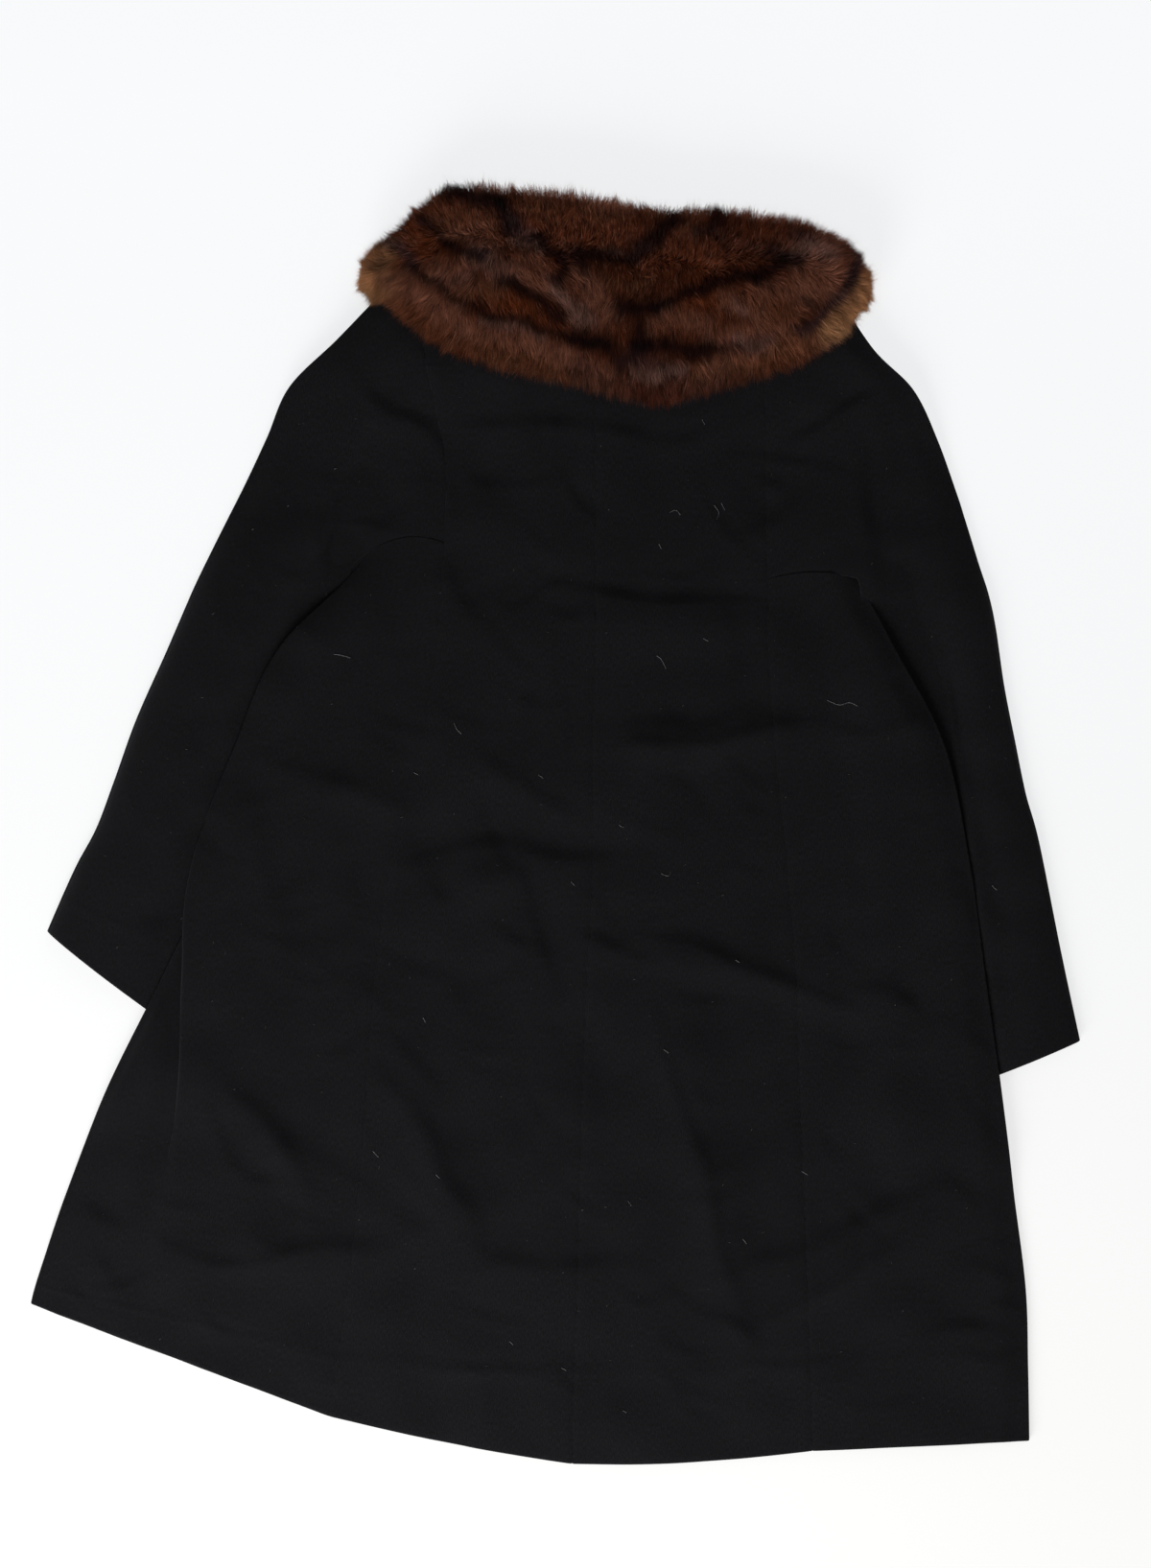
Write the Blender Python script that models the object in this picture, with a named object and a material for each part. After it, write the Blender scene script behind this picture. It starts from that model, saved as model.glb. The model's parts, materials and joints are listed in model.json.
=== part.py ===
"""A flared wool coat with a fur shawl collar, laid flat on its front with its back up.

Metres, +Z up. +Y runs from the hem to the neck, X across, and the coat lies on the plane Z = 0. Each cut
piece of cloth is a wall between two lines of its pattern, laid on the pieces below it. Tables are in
millimetres.
"""

import math

import bmesh
import bpy
from mathutils import Matrix, Vector

MM = 0.001

# Driving dimensions
CLOTH = 2.5 * MM  # the thickness of the coating with its lining
SEAM = 0.3 * MM  # the gap that stands for a sewn seam, and between layers that touch
HALF_SEAM = SEAM / 2
LOFT = 1.2 * MM  # the air between the back and the fronts, away from the edges
EDGE_ROLL = 24 * MM  # how far from a side edge that air closes
FRONT_OVERLAP = 30 * MM  # how far each front passes the centre line
OVERLAP_LIFT = CLOTH + 0.9 * MM  # how far the left front rises to lie on the right front
COLLAR_PILE_FRONT = 14 * MM  # the flattened front collar under the fronts
SLEEVE_STACK = 2 * CLOTH + 3 * SEAM  # both halves of a sleeve where the body lies on it
SLEEVE_LOFT = 3.4 * MM  # the air inside a sleeve at its middle
CENTRE_X = 31 * MM  # the centre front line, below the centre back seam
HEM_BOW = {"left": 3 * MM, "right": 4 * MM}  # how far the hem curves down at the middle of a centre panel
NECK_SIDE_LEFT, NECK_SIDE_RIGHT = -112 * MM, 170 * MM  # where the princess seams meet the neck
OVERLAP_FROM = 0.625  # the share of the left front's width from which it lies on the right front
FOLD_BASE = 2.4 * MM  # the folds' troughs reach this far down before they meet the fronts
SLEEVE_FLAT_FROM = {"left": 0.60, "right": 0.46}  # the share of its width from which the body lies on it
COLLAR_LIFT_Y = (285 * MM, 402 * MM)  # where the cloth rises onto the front collar
NECK_SEAM_Y = 450 * MM
COLLAR_REST = 1.5 * MM  # the fall's underside lies this far above the back
COLLAR_END_DROP = (-158 * MM, -152 * MM, 247 * MM, 254 * MM)  # where the fall drops onto the front collar

# Resolution
MIDDLE_ROWS = 2  # rows worked out between two rows of a table
CENTRE_COLUMNS, SIDE_BACK_COLUMNS, SIDE_FRONT_COLUMNS = 8, 8, 5
SLEEVE_BACK_COLUMNS, SLEEVE_FRONT_COLUMNS = 6, 4
PLEAT_TOP_COLUMNS, PLEAT_ARC_STEPS, PLEAT_LOW_COLUMNS = 6, 4, 4
SHARP_EDGE = math.radians(50)

COLOURS = {
    "cloth": (0.010, 0.010, 0.012, 1.0),
    "fur": (0.055, 0.022, 0.012, 1.0),
}

# The seam lines of the back, from the neck to the hem: the left princess seam, the centre back seam and the
# right princess seam. The fronts hold the same lines below them.
BACK_COLUMNS = ("left_x", "left_y", "centre_x", "centre_y", "right_x", "right_y")
BACK_ROWS = [
    (-112, 446, 33, 448, 170, 446),
    (-109, 390, 33, 392, 172, 386),
    (-98, 335, 33, 337, 174, 325),
    (-91, 284, 33, 288, 175, 262),
    (-93, 231, 33, 232, 177, 201),
    (-98, 150, 33, 150, 177, 140),
    (-112, 60, 31, 60, 183, 55),
    (-137, -40, 31, -40, 193, -40),
    (-150, -130, 26, -130, 200, -130),
    (-157, -220, 23, -220, 203, -220),
    (-164, -310, 20, -310, 207, -310),
    (-174, -400, 18, -400, 210, -400),
    (-182, -455, 15, -470, 212, -460),
    (-188, -495, 14, -534, 214, -524),
]
UNDERARM_ROW = 4
UNDERARM_ROWS = 3  # the rows of a sleeve along its underarm seam
UNDERARM_BOW = {"left": 12 * MM, "right": 5 * MM}  # how far that seam curves up at its middle

# The left side, whose back turns over in a loose pleat along the sleeve: the pleat's fold, the side seam,
# how far the pleat turns back in, how high it stands and how far it has opened out flat (0 folded, 1 flat).
PLEAT_COLUMNS = ("fold_x", "side_x", "side_y", "turn_in", "height", "opened")
PLEAT_OPEN_HEIGHT = 4 * MM  # where the pleat has opened out, its height above this stays as a soft swell
PLEAT_ROWS = [
    (-168, -168, 214, 10, 9, 1.0),
    (-221, -198, 150, 46, 11, 0.0),
    (-266, -236, 60, 52, 9, 0.0),
    (-302, -282, -40, 46, 9, 0.0),
    (-309, -326, -130, 40, 10, 0.0),
    (-311, -373, -225, 26, 13, 0.25),
    (-318, -407, -312, 12, 10, 1.0),
    (-330, -425, -365, 10, 7, 1.0),
    (-340, -433, -390, 10, 5, 1.0),
    (-350, -436, -402, 10, 4, 1.0),
]

# The right side seam, at the rows of the back from the underarm down.
RIGHT_SIDE_COLUMNS = ("side_x", "side_y")
RIGHT_SIDE_ROWS = [
    (251, 202),
    (280, 146),
    (323, 62),
    (345, -42),
    (357, -130),
    (369, -215),
    (381, -310),
    (391, -390),
    (393, -455),
    (394, -516),
]

# Each sleeve from the neck to the cuff: its outer edge, its inner edge, and whether that row is sewn into
# the body (0) or is a free sleeve under it (1).
SLEEVE_COLUMNS = ("outer_x", "outer_y", "inner_x", "inner_y", "free")
LEFT_SLEEVE_ROWS = [
    (-138, 443, -112, 446, 0),
    (-180, 399, -109, 390, 0),
    (-220, 360, -98, 335, 0),
    (-239, 319, -91, 284, 0),
    (-258, 279, -93, 231, 0),
    (-270, 255, -118, 237, 0),
    (-282, 231, -143, 232, 0),
    (-298, 198, -168, 214, 0),
    (-311, 168, -186, 180, 0.7),
    (-324, 138, -201, 148, 1),
    (-348, 84, -213, 95, 1),
    (-366, 34, -226, 36, 1),
    (-381, -6, -240, -15, 1),
    (-397, -36, -257, -68, 1),
    (-409, -62, -276, -120, 1),
    (-422, -92, -300, -188, 1),
]
RIGHT_SLEEVE_ROWS = [
    (230, 441, 170, 446, 0),
    (263, 391, 172, 386, 0),
    (297, 357, 174, 325, 0),
    (318, 315, 175, 262, 0),
    (334, 271, 177, 201, 0),
    (340, 252, 202, 206, 0),
    (345, 236, 226, 207, 0),
    (352, 213, 251, 202, 0),
    (360, 188, 268, 172, 0.7),
    (366, 160, 282, 146, 1),
    (373, 112, 287, 100, 1),
    (382, 66, 290, 40, 1),
    (391, 22, 293, -30, 1),
    (402, -18, 296, -100, 1),
    (420, -108, 299, -175, 1),
    (436, -183, 300, -240, 1),
]

# The largest folds of the back: from one end to the other, half its width, and its height, which is less
# than nothing in a trough.
FOLD_COLUMNS = ("from_x", "from_y", "to_x", "to_y", "half_width", "height")
FOLDS = [
    (-105, -24, 75, -28, 22, -2.6),
    (-95, -48, -20, -46, 24, 5.0),
    (-20, 198, 165, 186, 20, -2.4),
    (0, 165, 160, 160, 30, 4.0),
    (40, 62, 205, 78, 26, 4.5),
    (45, 82, 195, 100, 16, -2.2),
    (200, 74, 310, 92, 26, 3.6),
    (30, -104, 250, -150, 26, 4.5),
    (60, -130, 200, -150, 16, -2.0),
    (88, -140, 165, -430, 30, 6.0),
    (165, -434, 320, -310, 26, 4.5),
    (-140, -185, -68, -360, 34, 5.0),
    (-265, -240, -205, -300, 22, 4.0),
    (-320, -355, -150, -358, 26, 3.6),
    (-230, 48, -105, 8, 24, 3.6),
    (-110, 60, 10, 20, 26, 4.0),
    (-100, 330, -92, 240, 16, -2.4),
    (190, 335, 235, 355, 20, 3.0),
]


# Where the body lies on each sleeve: a point of its inner edge, the edge's run in x for each step of y, and
# the y of the stretch's two ends, each where the rise begins and where it is whole.
SLEEVE_BEDS = {
    "left": {"x": -168, "y": 214, "run": 0.324, "cuff": (-275, -215), "underarm": (212, 146)},
    "right": {"x": 284, "y": 120, "run": -0.045, "cuff": (-325, -265), "underarm": (202, 146)},
}
BED_EDGE = (12 * MM, 62 * MM)  # how far inside that edge the rise is whole, and where it has gone

# The fur collar from end to end over the back: x, its rolled upper edge, its lower edge and its height.
COLLAR_COLUMNS = ("x", "top_y", "low_y", "height")
COLLAR_ROWS = [
    (-159, 464, 440, 8),
    (-152, 474, 429, 16),
    (-141, 482, 426, 19),
    (-116, 508, 404, 22),
    (-86, 526, 385, 24),
    (-39, 524, 370, 25),
    (10, 520, 360, 25),
    (55, 512, 349, 25),
    (91, 506, 344, 25),
    (129, 507, 353, 25),
    (168, 503, 366, 24),
    (207, 496, 378, 23),
    (238, 483, 398, 21),
    (253, 467, 419, 16),
    (261, 455, 433, 8),
]
# The two front collars below the fronts, from their outer ends to the centre, in the same columns.
FRONT_COLLAR_ROWS = {
    "left": [
        (-158, 462, 441, 8),
        (-151, 472, 430, 13.7),
        (-126, 478, 402, 13.7),
        (-60, 462, 404, 13.7),
        (26, 446, 404, 13.7),
    ],
    "right": [
        (260, 453, 434, 8),
        (252, 466, 421, 13.7),
        (226, 474, 402, 13.7),
        (140, 462, 404, 13.7),
        (36, 446, 404, 13.7),
    ],
}
# The fur from its lower edge to its rolled edge: the share of the way up, and the share of the full height.
PILE_PROFILE = [
    (0.0, 0.12),
    (0.04, 0.42),
    (0.16, 0.70),
    (0.40, 0.86),
    (0.70, 1.0),
    (0.88, 0.92),
    (0.97, 0.6),
    (1.0, 0.2),
]


def smooth(low, high, value):
    """0 below low, 1 above high, and an even S between."""
    t = min(1.0, max(0.0, (value - low) / (high - low)))
    return t * t * (3 - 2 * t)


def rows_of(table, columns):
    """The table's rows in metres, with MIDDLE_ROWS rows on a smooth curve between each two."""
    rows = []
    last = len(table) - 1
    for index in range(last):
        before, start = table[max(index - 1, 0)], table[index]
        end, after = table[index + 1], table[min(index + 2, last)]
        for step in range(MIDDLE_ROWS):
            t = step / MIDDLE_ROWS
            row = {}
            for name, p0, p1, p2, p3 in zip(columns, before, start, end, after):
                bend = 2 * p1 + (p2 - p0) * t + (2 * p0 - 5 * p1 + 4 * p2 - p3) * t**2
                row[name] = 0.5 * (bend + (3 * p1 - p0 - 3 * p2 + p3) * t**3)
            rows.append(row)
    rows.append(dict(zip(columns, table[last])))
    unscaled = {"opened", "free"}
    return [{name: value * (1 if name in unscaled else MM) for name, value in row.items()} for row in rows]


def fold_height(x, y):
    """The sum of the soft folds at one point of the back."""
    total = 0.0
    for row in FOLDS:
        fold = dict(zip(FOLD_COLUMNS, (value * MM for value in row)))
        start = Vector((fold["from_x"], fold["from_y"]))
        along = Vector((fold["to_x"], fold["to_y"])) - start
        place = Vector((x, y)) - start
        share = min(1.0, max(0.0, place.dot(along) / along.length_squared))
        away = (place - along * share).length / fold["half_width"]
        end_fade = 0.35 + 0.65 * math.sin(math.pi * share)
        total += fold["height"] * end_fade * math.exp(-away * away * 1.4)
    return total


def collar_lift(y):
    """How far the front collar below lifts the cloth near the neck."""
    return COLLAR_PILE_FRONT * smooth(*COLLAR_LIFT_Y, y)


def sleeve_lift(x, y):
    """How far the body rises where it lies on a sleeve."""
    share = 0.0
    for side, bed in SLEEVE_BEDS.items():
        edge_x = bed["x"] * MM + (y - bed["y"] * MM) * bed["run"]
        inside = x - edge_x if side == "left" else edge_x - x
        across = 1 - smooth(*BED_EDGE, inside)
        cuff_low, cuff_high = (value * MM for value in bed["cuff"])
        gone, whole = (value * MM for value in bed["underarm"])
        share = max(share, across * smooth(cuff_low, cuff_high, y) * (1 - smooth(whole, gone, y)))
    return SLEEVE_STACK * share


def overlap_cover(x):
    """How far the back rises over the two fronts' overlap."""
    full_left, full_right = CENTRE_X - FRONT_OVERLAP - 5 * MM, CENTRE_X + FRONT_OVERLAP + 8 * MM
    left = (x - NECK_SIDE_LEFT) / (full_left - NECK_SIDE_LEFT)
    right = (NECK_SIDE_RIGHT - x) / (NECK_SIDE_RIGHT - full_right)
    return OVERLAP_LIFT * min(1.0, max(0.0, min(left, right)))


def front_floor(x, y):
    """The underside of the fronts."""
    return collar_lift(y) + sleeve_lift(x, y)


def back_floor(x, y, edge=1.0):
    """The underside of the back. edge is the distance to the nearest side edge."""
    open_share = smooth(0, EDGE_ROLL, edge)
    air = SEAM + (LOFT + max(fold_height(x, y) + FOLD_BASE, 0)) * open_share
    return front_floor(x, y) + CLOTH + overlap_cover(x) + air


def material(name):
    """One Principled material for each kind of surface."""
    found = bpy.data.materials.get(name)
    if found:
        return found
    made = bpy.data.materials.new(name)
    made.use_nodes = True
    shader = made.node_tree.nodes["Principled BSDF"]
    shader.inputs["Base Color"].default_value = COLOURS[name]
    shader.inputs["Roughness"].default_value = 0.9
    shader.inputs["Metallic"].default_value = 0.0
    return made


def add_object(name, mesh, finish):
    """A mesh as a named object of the coat."""
    mesh.materials.append(material(finish))
    made = bpy.data.objects.new(name, mesh)
    COAT.objects.link(made)
    return made


def grid_of(rows, columns, place):
    """A grid of rows and columns of faces, each point put where place(row, column) says."""
    grid = bmesh.new()
    bmesh.ops.create_grid(grid, x_segments=columns, y_segments=rows, size=0.5, matrix=Matrix())
    for vert in grid.verts:
        row = round((0.5 - vert.co.y) * rows)
        column = round((vert.co.x + 0.5) * columns)
        vert.co = place(row, column)
    bmesh.ops.recalc_face_normals(grid, faces=grid.faces)
    return grid


def upright(grid):
    """Turns the faces of an open grid up."""
    if sum(face.normal.z * face.calc_area() for face in grid.faces) < 0:
        bmesh.ops.reverse_faces(grid, faces=grid.faces)


def cloth_panel(name, start_edge, end_edge, columns, floor, hem_bow=0.0):
    """A wall of cloth from one edge line to the other, its underside at floor(x, y, row, share)."""

    def place(row, column):
        share = column / columns
        start, end = Vector(start_edge[row]), Vector(end_edge[row])
        across = (end - start).normalized() * HALF_SEAM
        point = (start + across).lerp(end - across, share)
        point.y -= 4 * hem_bow * share * (1 - share) * (row / (len(start_edge) - 1)) ** 3
        return Vector((point.x, point.y, floor(point.x, point.y, row, share)))

    grid = grid_of(len(start_edge) - 1, columns, place)
    upright(grid)
    return finish_wall(name, grid)


def finish_wall(name, grid):
    """Gives an open grid its cloth thickness, upward."""
    bottom = list(grid.faces)
    made = bmesh.ops.extrude_face_region(grid, geom=bottom, use_keep_orig=True)
    moved = [item for item in made["geom"] if isinstance(item, bmesh.types.BMVert)]
    bmesh.ops.translate(grid, verts=moved, vec=(0, 0, CLOTH))
    bmesh.ops.reverse_faces(grid, faces=bottom)
    bmesh.ops.recalc_face_normals(grid, faces=grid.faces)
    mesh = bpy.data.meshes.new(name)
    grid.to_mesh(mesh)
    grid.free()
    mesh.shade_smooth()
    mesh.set_sharp_from_angle(angle=SHARP_EDGE)
    return add_object(name, mesh, "cloth")


def points(rows, x_name, y_name):
    """The line that two columns of a table give."""
    return [(row[x_name], row[y_name]) for row in rows]


def shortened(line):
    """The line with its two ends drawn back by half a seam."""
    ends = [Vector(point) for point in line]
    ends[0] = ends[0] + (ends[1] - ends[0]).normalized() * HALF_SEAM
    ends[-1] = ends[-1] + (ends[-2] - ends[-1]).normalized() * HALF_SEAM
    return ends


def add_loft(name, rings, finish):
    """A closed solid through rings of points, each an upper line and then its lower line back again."""
    solid = bmesh.new()
    size = len(rings[0])
    half = size // 2
    verts = [[solid.verts.new(point) for point in ring] for ring in rings]
    for ring, following in zip(verts, verts[1:]):
        for index in range(size):
            after = (index + 1) % size
            solid.faces.new((ring[index], ring[after], following[after], following[index]))
    for ring in (verts[0], verts[-1]):
        for index in range(half - 1):
            across = (ring[size - 2 - index], ring[size - 1 - index])
            solid.faces.new((ring[index], ring[index + 1], *across))
    bmesh.ops.recalc_face_normals(solid, faces=solid.faces)
    mesh = bpy.data.meshes.new(name)
    solid.to_mesh(mesh)
    solid.free()
    mesh.shade_smooth()
    mesh.set_sharp_from_angle(angle=SHARP_EDGE)
    return add_object(name, mesh, finish)


def add_centre_panels(rows):
    """The two centre backs and the two fronts, between the princess seams and the centre."""
    centre = points(rows, "centre_x", "centre_y")

    def back(x, y, row, share):
        return back_floor(x, y)

    def right_front(x, y, row, share):
        return front_floor(x, y)

    def left_front(x, y, row, share):
        return front_floor(x, y) + OVERLAP_LIFT * min(1.0, share / OVERLAP_FROM)

    fronts = (("left", FRONT_OVERLAP, left_front), ("right", -FRONT_OVERLAP, right_front))
    for side, reach, front in fronts:
        seam = points(rows, side + "_x", side + "_y")
        edge = [(CENTRE_X + reach, y) for _, y in centre]
        bow = HEM_BOW[side]
        cloth_panel("back_" + side, shortened(seam), shortened(centre), CENTRE_COLUMNS, back, bow)
        cloth_panel("front_" + side, shortened(seam), shortened(edge), CENTRE_COLUMNS, front, bow)


def along(line, share):
    """The point at a share of the way through a line's points."""
    place = min(max(share, 0.0), 1.0) * (len(line) - 1)
    index = min(int(place), len(line) - 2)
    return Vector(line[index]).lerp(Vector(line[index + 1]), place - index)


def top_shift(seam, share, row):
    """How far a side panel's first rows move to follow the curved underarm seam."""
    fade = max(0.0, 1 - row / 4)
    return (along(seam, share) - seam[0].lerp(seam[-1], share) - Vector((0, SEAM))) * fade


def add_side_panel(name, seam_line, side_line, underarm, columns, floor):
    """A side panel below the underarm seam, from a princess line to the side seam."""

    def place(row, column):
        share = column / columns
        start, end = Vector(seam_line[row]), Vector(side_line[row])
        start = start + (end - start).normalized() * HALF_SEAM
        point = start.lerp(end, share) + top_shift(underarm, share, row)
        return Vector((point.x, point.y, floor(point.x, point.y, (1 - share) * (end - start).length)))

    grid = grid_of(len(seam_line) - 1, columns, place)
    upright(grid)
    return finish_wall(name, grid)


def underarm_line(corner, armpit, bow):
    """The curved seam below a sleeve, from the princess seam to the underarm."""
    count = UNDERARM_ROWS * MIDDLE_ROWS
    line = []
    for step in range(count + 1):
        share = step / count
        line.append(corner.lerp(armpit, share) + Vector((0, 4 * bow * share * (1 - share))))
    return line


def join_sleeve(sleeve, seam, bow):
    """Gives a sleeve the princess and underarm seams as its inner edge, and returns the underarm seam."""
    for row, point in zip(sleeve, seam):
        row["inner_x"], row["inner_y"] = point
    first = len(seam) - 1
    armpit = sleeve[first + UNDERARM_ROWS * MIDDLE_ROWS]
    line = underarm_line(Vector(seam[-1]), Vector((armpit["inner_x"], armpit["inner_y"])), bow)
    for row, point in zip(sleeve[first:], line):
        row["inner_x"], row["inner_y"] = point
    return line


def front_side_floor(x, y, edge):
    """The underside of a side front."""
    return front_floor(x, y)


def arc(centre, radius, first, last, steps):
    """Points on a round stretch of a section, its ends included."""
    angles = [first + (last - first) * step / steps for step in range(steps + 1)]
    return [(centre[0] + radius * math.cos(a), centre[1] + radius * math.sin(a)) for a in angles]


def pleat_section(panel, pleat):
    """The middle line of the left side back at one row, (x, z) from the princess line to the side seam."""
    start_x, y = panel
    side_y = pleat["side_y"]
    low = front_floor(pleat["side_x"], side_y) + 1.5 * CLOTH + SEAM
    radius = pleat["height"] / 4
    middle, high = low + 2 * radius, low + 4 * radius
    fold_x = pleat["fold_x"] + radius
    turn_x = pleat["fold_x"] + pleat["turn_in"] - radius
    start_z = back_floor(start_x, y) + CLOTH / 2
    folded = []
    for step in range(PLEAT_TOP_COLUMNS):
        share = step / PLEAT_TOP_COLUMNS
        x = start_x + (fold_x - start_x) * share
        ground = back_floor(x, y + (side_y - y) * share, 1.0) + CLOTH / 2
        folded.append((x, ground + (high - ground) * smooth(0.35, 1.0, share)))
    folded[0] = (start_x, start_z)
    folded += arc((fold_x, (high + middle) / 2), radius, math.pi / 2, 3 * math.pi / 2, PLEAT_ARC_STEPS)
    folded += arc((turn_x, (middle + low) / 2), radius, math.pi / 2, -math.pi / 2, PLEAT_ARC_STEPS)
    for step in range(1, PLEAT_LOW_COLUMNS + 1):
        share = step / PLEAT_LOW_COLUMNS
        x = turn_x + (pleat["side_x"] - turn_x) * share
        ground = front_floor(x, side_y) + 1.5 * CLOTH + SEAM
        folded.append((x, max(ground, low)))
    count = len(folded) - 1
    section = []
    for index, (x, z) in enumerate(folded):
        share = index / count
        flat_x = start_x + (pleat["side_x"] - start_x) * share
        flat_y = y + (side_y - y) * share
        edge = abs(pleat["side_x"] - flat_x)
        flat_z = back_floor(flat_x, flat_y, edge) + CLOTH / 2
        if y < 0:
            flat_z += (pleat["height"] - PLEAT_OPEN_HEIGHT) * math.sin(math.pi * share) ** 2
        opened = pleat["opened"]
        section.append((x + (flat_x - x) * opened, z + (flat_z - z) * opened))
    return section


def add_pleated_side(name, seam_line, pleats, underarm):
    """The left side back, with the pleat that turns over along the sleeve."""
    rings = []
    for row, (panel, pleat) in enumerate(zip(seam_line, pleats)):
        start = (panel[0] - HALF_SEAM, panel[1])
        section = pleat_section(start, pleat)
        upper, lower = [], []
        span = pleat["side_x"] - start[0]
        for index, (x, z) in enumerate(section):
            before, after = section[max(index - 1, 0)], section[min(index + 1, len(section) - 1)]
            out = Vector((before[1] - after[1], after[0] - before[0])) * -1
            out = Vector((0, 1)) if index in (0, len(section) - 1) else out.normalized()
            share = min(max((x - start[0]) / span, 0.0), 1.0)
            y = start[1] + (pleat["side_y"] - start[1]) * share
            shift = top_shift(underarm, index / (len(section) - 1), row)
            offset = out * (CLOTH / 2)
            upper.append((x + shift.x + offset.x, y + shift.y, z + offset.y))
            lower.append((x + shift.x - offset.x, y + shift.y, z - offset.y))
        rings.append(upper + lower[::-1])
    return add_loft(name, rings, "cloth")


def add_sleeve(side, rows):
    """The two halves of a raglan sleeve, the back half on the front half."""
    flat_from = SLEEVE_FLAT_FROM[side]
    outer = points(rows, "outer_x", "outer_y")
    inner = points(rows, "inner_x", "inner_y")

    def back(x, y, row, share):
        width = (Vector(inner[row]) - Vector(outer[row])).length
        shoulder = back_floor(x, y, share * width)
        swell = math.sin(math.pi * share / flat_from) if share < flat_from else 0.0
        tube = CLOTH + SEAM + SLEEVE_LOFT * swell
        return shoulder + (tube - shoulder) * smooth(0, 1, rows[row]["free"])

    def front(x, y, row, share):
        return front_floor(x, y) * (1 - smooth(0, 1, rows[row]["free"]))

    cloth_panel("sleeve_back_" + side, outer, shortened(inner), SLEEVE_BACK_COLUMNS, back)
    cloth_panel("sleeve_front_" + side, outer, shortened(inner), SLEEVE_FRONT_COLUMNS, front)


def collar_floor(x, y):
    """The underside of the collar's fall: on the back, and down on the front collar at its two ends."""
    over = back_floor(x, min(y, NECK_SEAM_Y)) + CLOTH + COLLAR_REST
    left = smooth(COLLAR_END_DROP[0], COLLAR_END_DROP[1], x)
    right = 1 - smooth(COLLAR_END_DROP[2], COLLAR_END_DROP[3], x)
    return COLLAR_PILE_FRONT + (over - COLLAR_PILE_FRONT) * min(left, right)


def ground(x, y):
    """The plane that the coat lies on."""
    return 0.0


def pile_ring(row, floor):
    """One ring of fur across the collar: the top of the pile, then its underside back again."""
    upper, lower = [], []
    for share, height in PILE_PROFILE:
        y = row["low_y"] + (row["top_y"] - row["low_y"]) * share
        bottom = floor(row["x"], y)
        upper.append((row["x"], y, bottom + row["height"] * height))
        lower.append((row["x"], y, bottom))
    return upper + lower[::-1]


def add_collar():
    """The fall over the back, and the two front ends that the coat lies on."""
    rings = [pile_ring(row, collar_floor) for row in rows_of(COLLAR_ROWS, COLLAR_COLUMNS)]
    add_loft("fur_collar_back", rings, "fur")
    for side, table in FRONT_COLLAR_ROWS.items():
        rings = [pile_ring(row, ground) for row in rows_of(table, COLLAR_COLUMNS)]
        add_loft("fur_collar_front_" + side, rings, "fur")


def build_coat():
    """Every cut piece of the coat."""
    rows = rows_of(BACK_ROWS, BACK_COLUMNS)
    lower = rows[UNDERARM_ROW * MIDDLE_ROWS :]
    pleats = rows_of(PLEAT_ROWS, PLEAT_COLUMNS)
    right_side = rows_of(RIGHT_SIDE_ROWS, RIGHT_SIDE_COLUMNS)
    left_sleeve = rows_of(LEFT_SLEEVE_ROWS, SLEEVE_COLUMNS)
    right_sleeve = rows_of(RIGHT_SLEEVE_ROWS, SLEEVE_COLUMNS)
    shoulder = rows[: UNDERARM_ROW * MIDDLE_ROWS + 1]
    left_shoulder = points(shoulder, "left_x", "left_y")
    right_shoulder = points(shoulder, "right_x", "right_y")
    left_underarm = join_sleeve(left_sleeve, left_shoulder, UNDERARM_BOW["left"])
    right_underarm = join_sleeve(right_sleeve, right_shoulder, UNDERARM_BOW["right"])
    left_seam = points(lower, "left_x", "left_y")
    right_seam = points(lower, "right_x", "right_y")
    left_edge = points(pleats, "side_x", "side_y")
    right_edge = points(right_side, "side_x", "side_y")
    add_centre_panels(rows)
    right_side_seams = (right_seam, right_edge, right_underarm)
    add_side_panel("side_back_right", *right_side_seams, SIDE_BACK_COLUMNS, back_floor)
    add_side_panel("side_front_right", *right_side_seams, SIDE_FRONT_COLUMNS, front_side_floor)
    left_side_seams = (left_seam, left_edge, left_underarm)
    add_side_panel("side_front_left", *left_side_seams, SIDE_FRONT_COLUMNS, front_side_floor)
    add_pleated_side("side_back_left", left_seam, pleats, left_underarm)
    add_sleeve("left", left_sleeve)
    add_sleeve("right", right_sleeve)
    add_collar()


for old in list(bpy.data.objects):
    bpy.data.objects.remove(old)
COAT = bpy.data.collections.new("fur_collar_coat")
bpy.context.scene.collection.children.link(COAT)
build_coat()
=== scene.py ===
"""The looks of a flared wool coat with a fur shawl collar, laid flat on its front with its back up.

Metres, +Z up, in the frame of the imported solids. +Y runs from the hem to the neck. Tables are in
millimetres. Each cut piece of cloth is a thin wall on its solid's form, with the creases of the laid coat in
it, and the fur is made of single hairs on a pelt.
"""

import json
import math

import bpy
import numpy as np
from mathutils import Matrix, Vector
from mathutils.bvhtree import BVHTree

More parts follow.
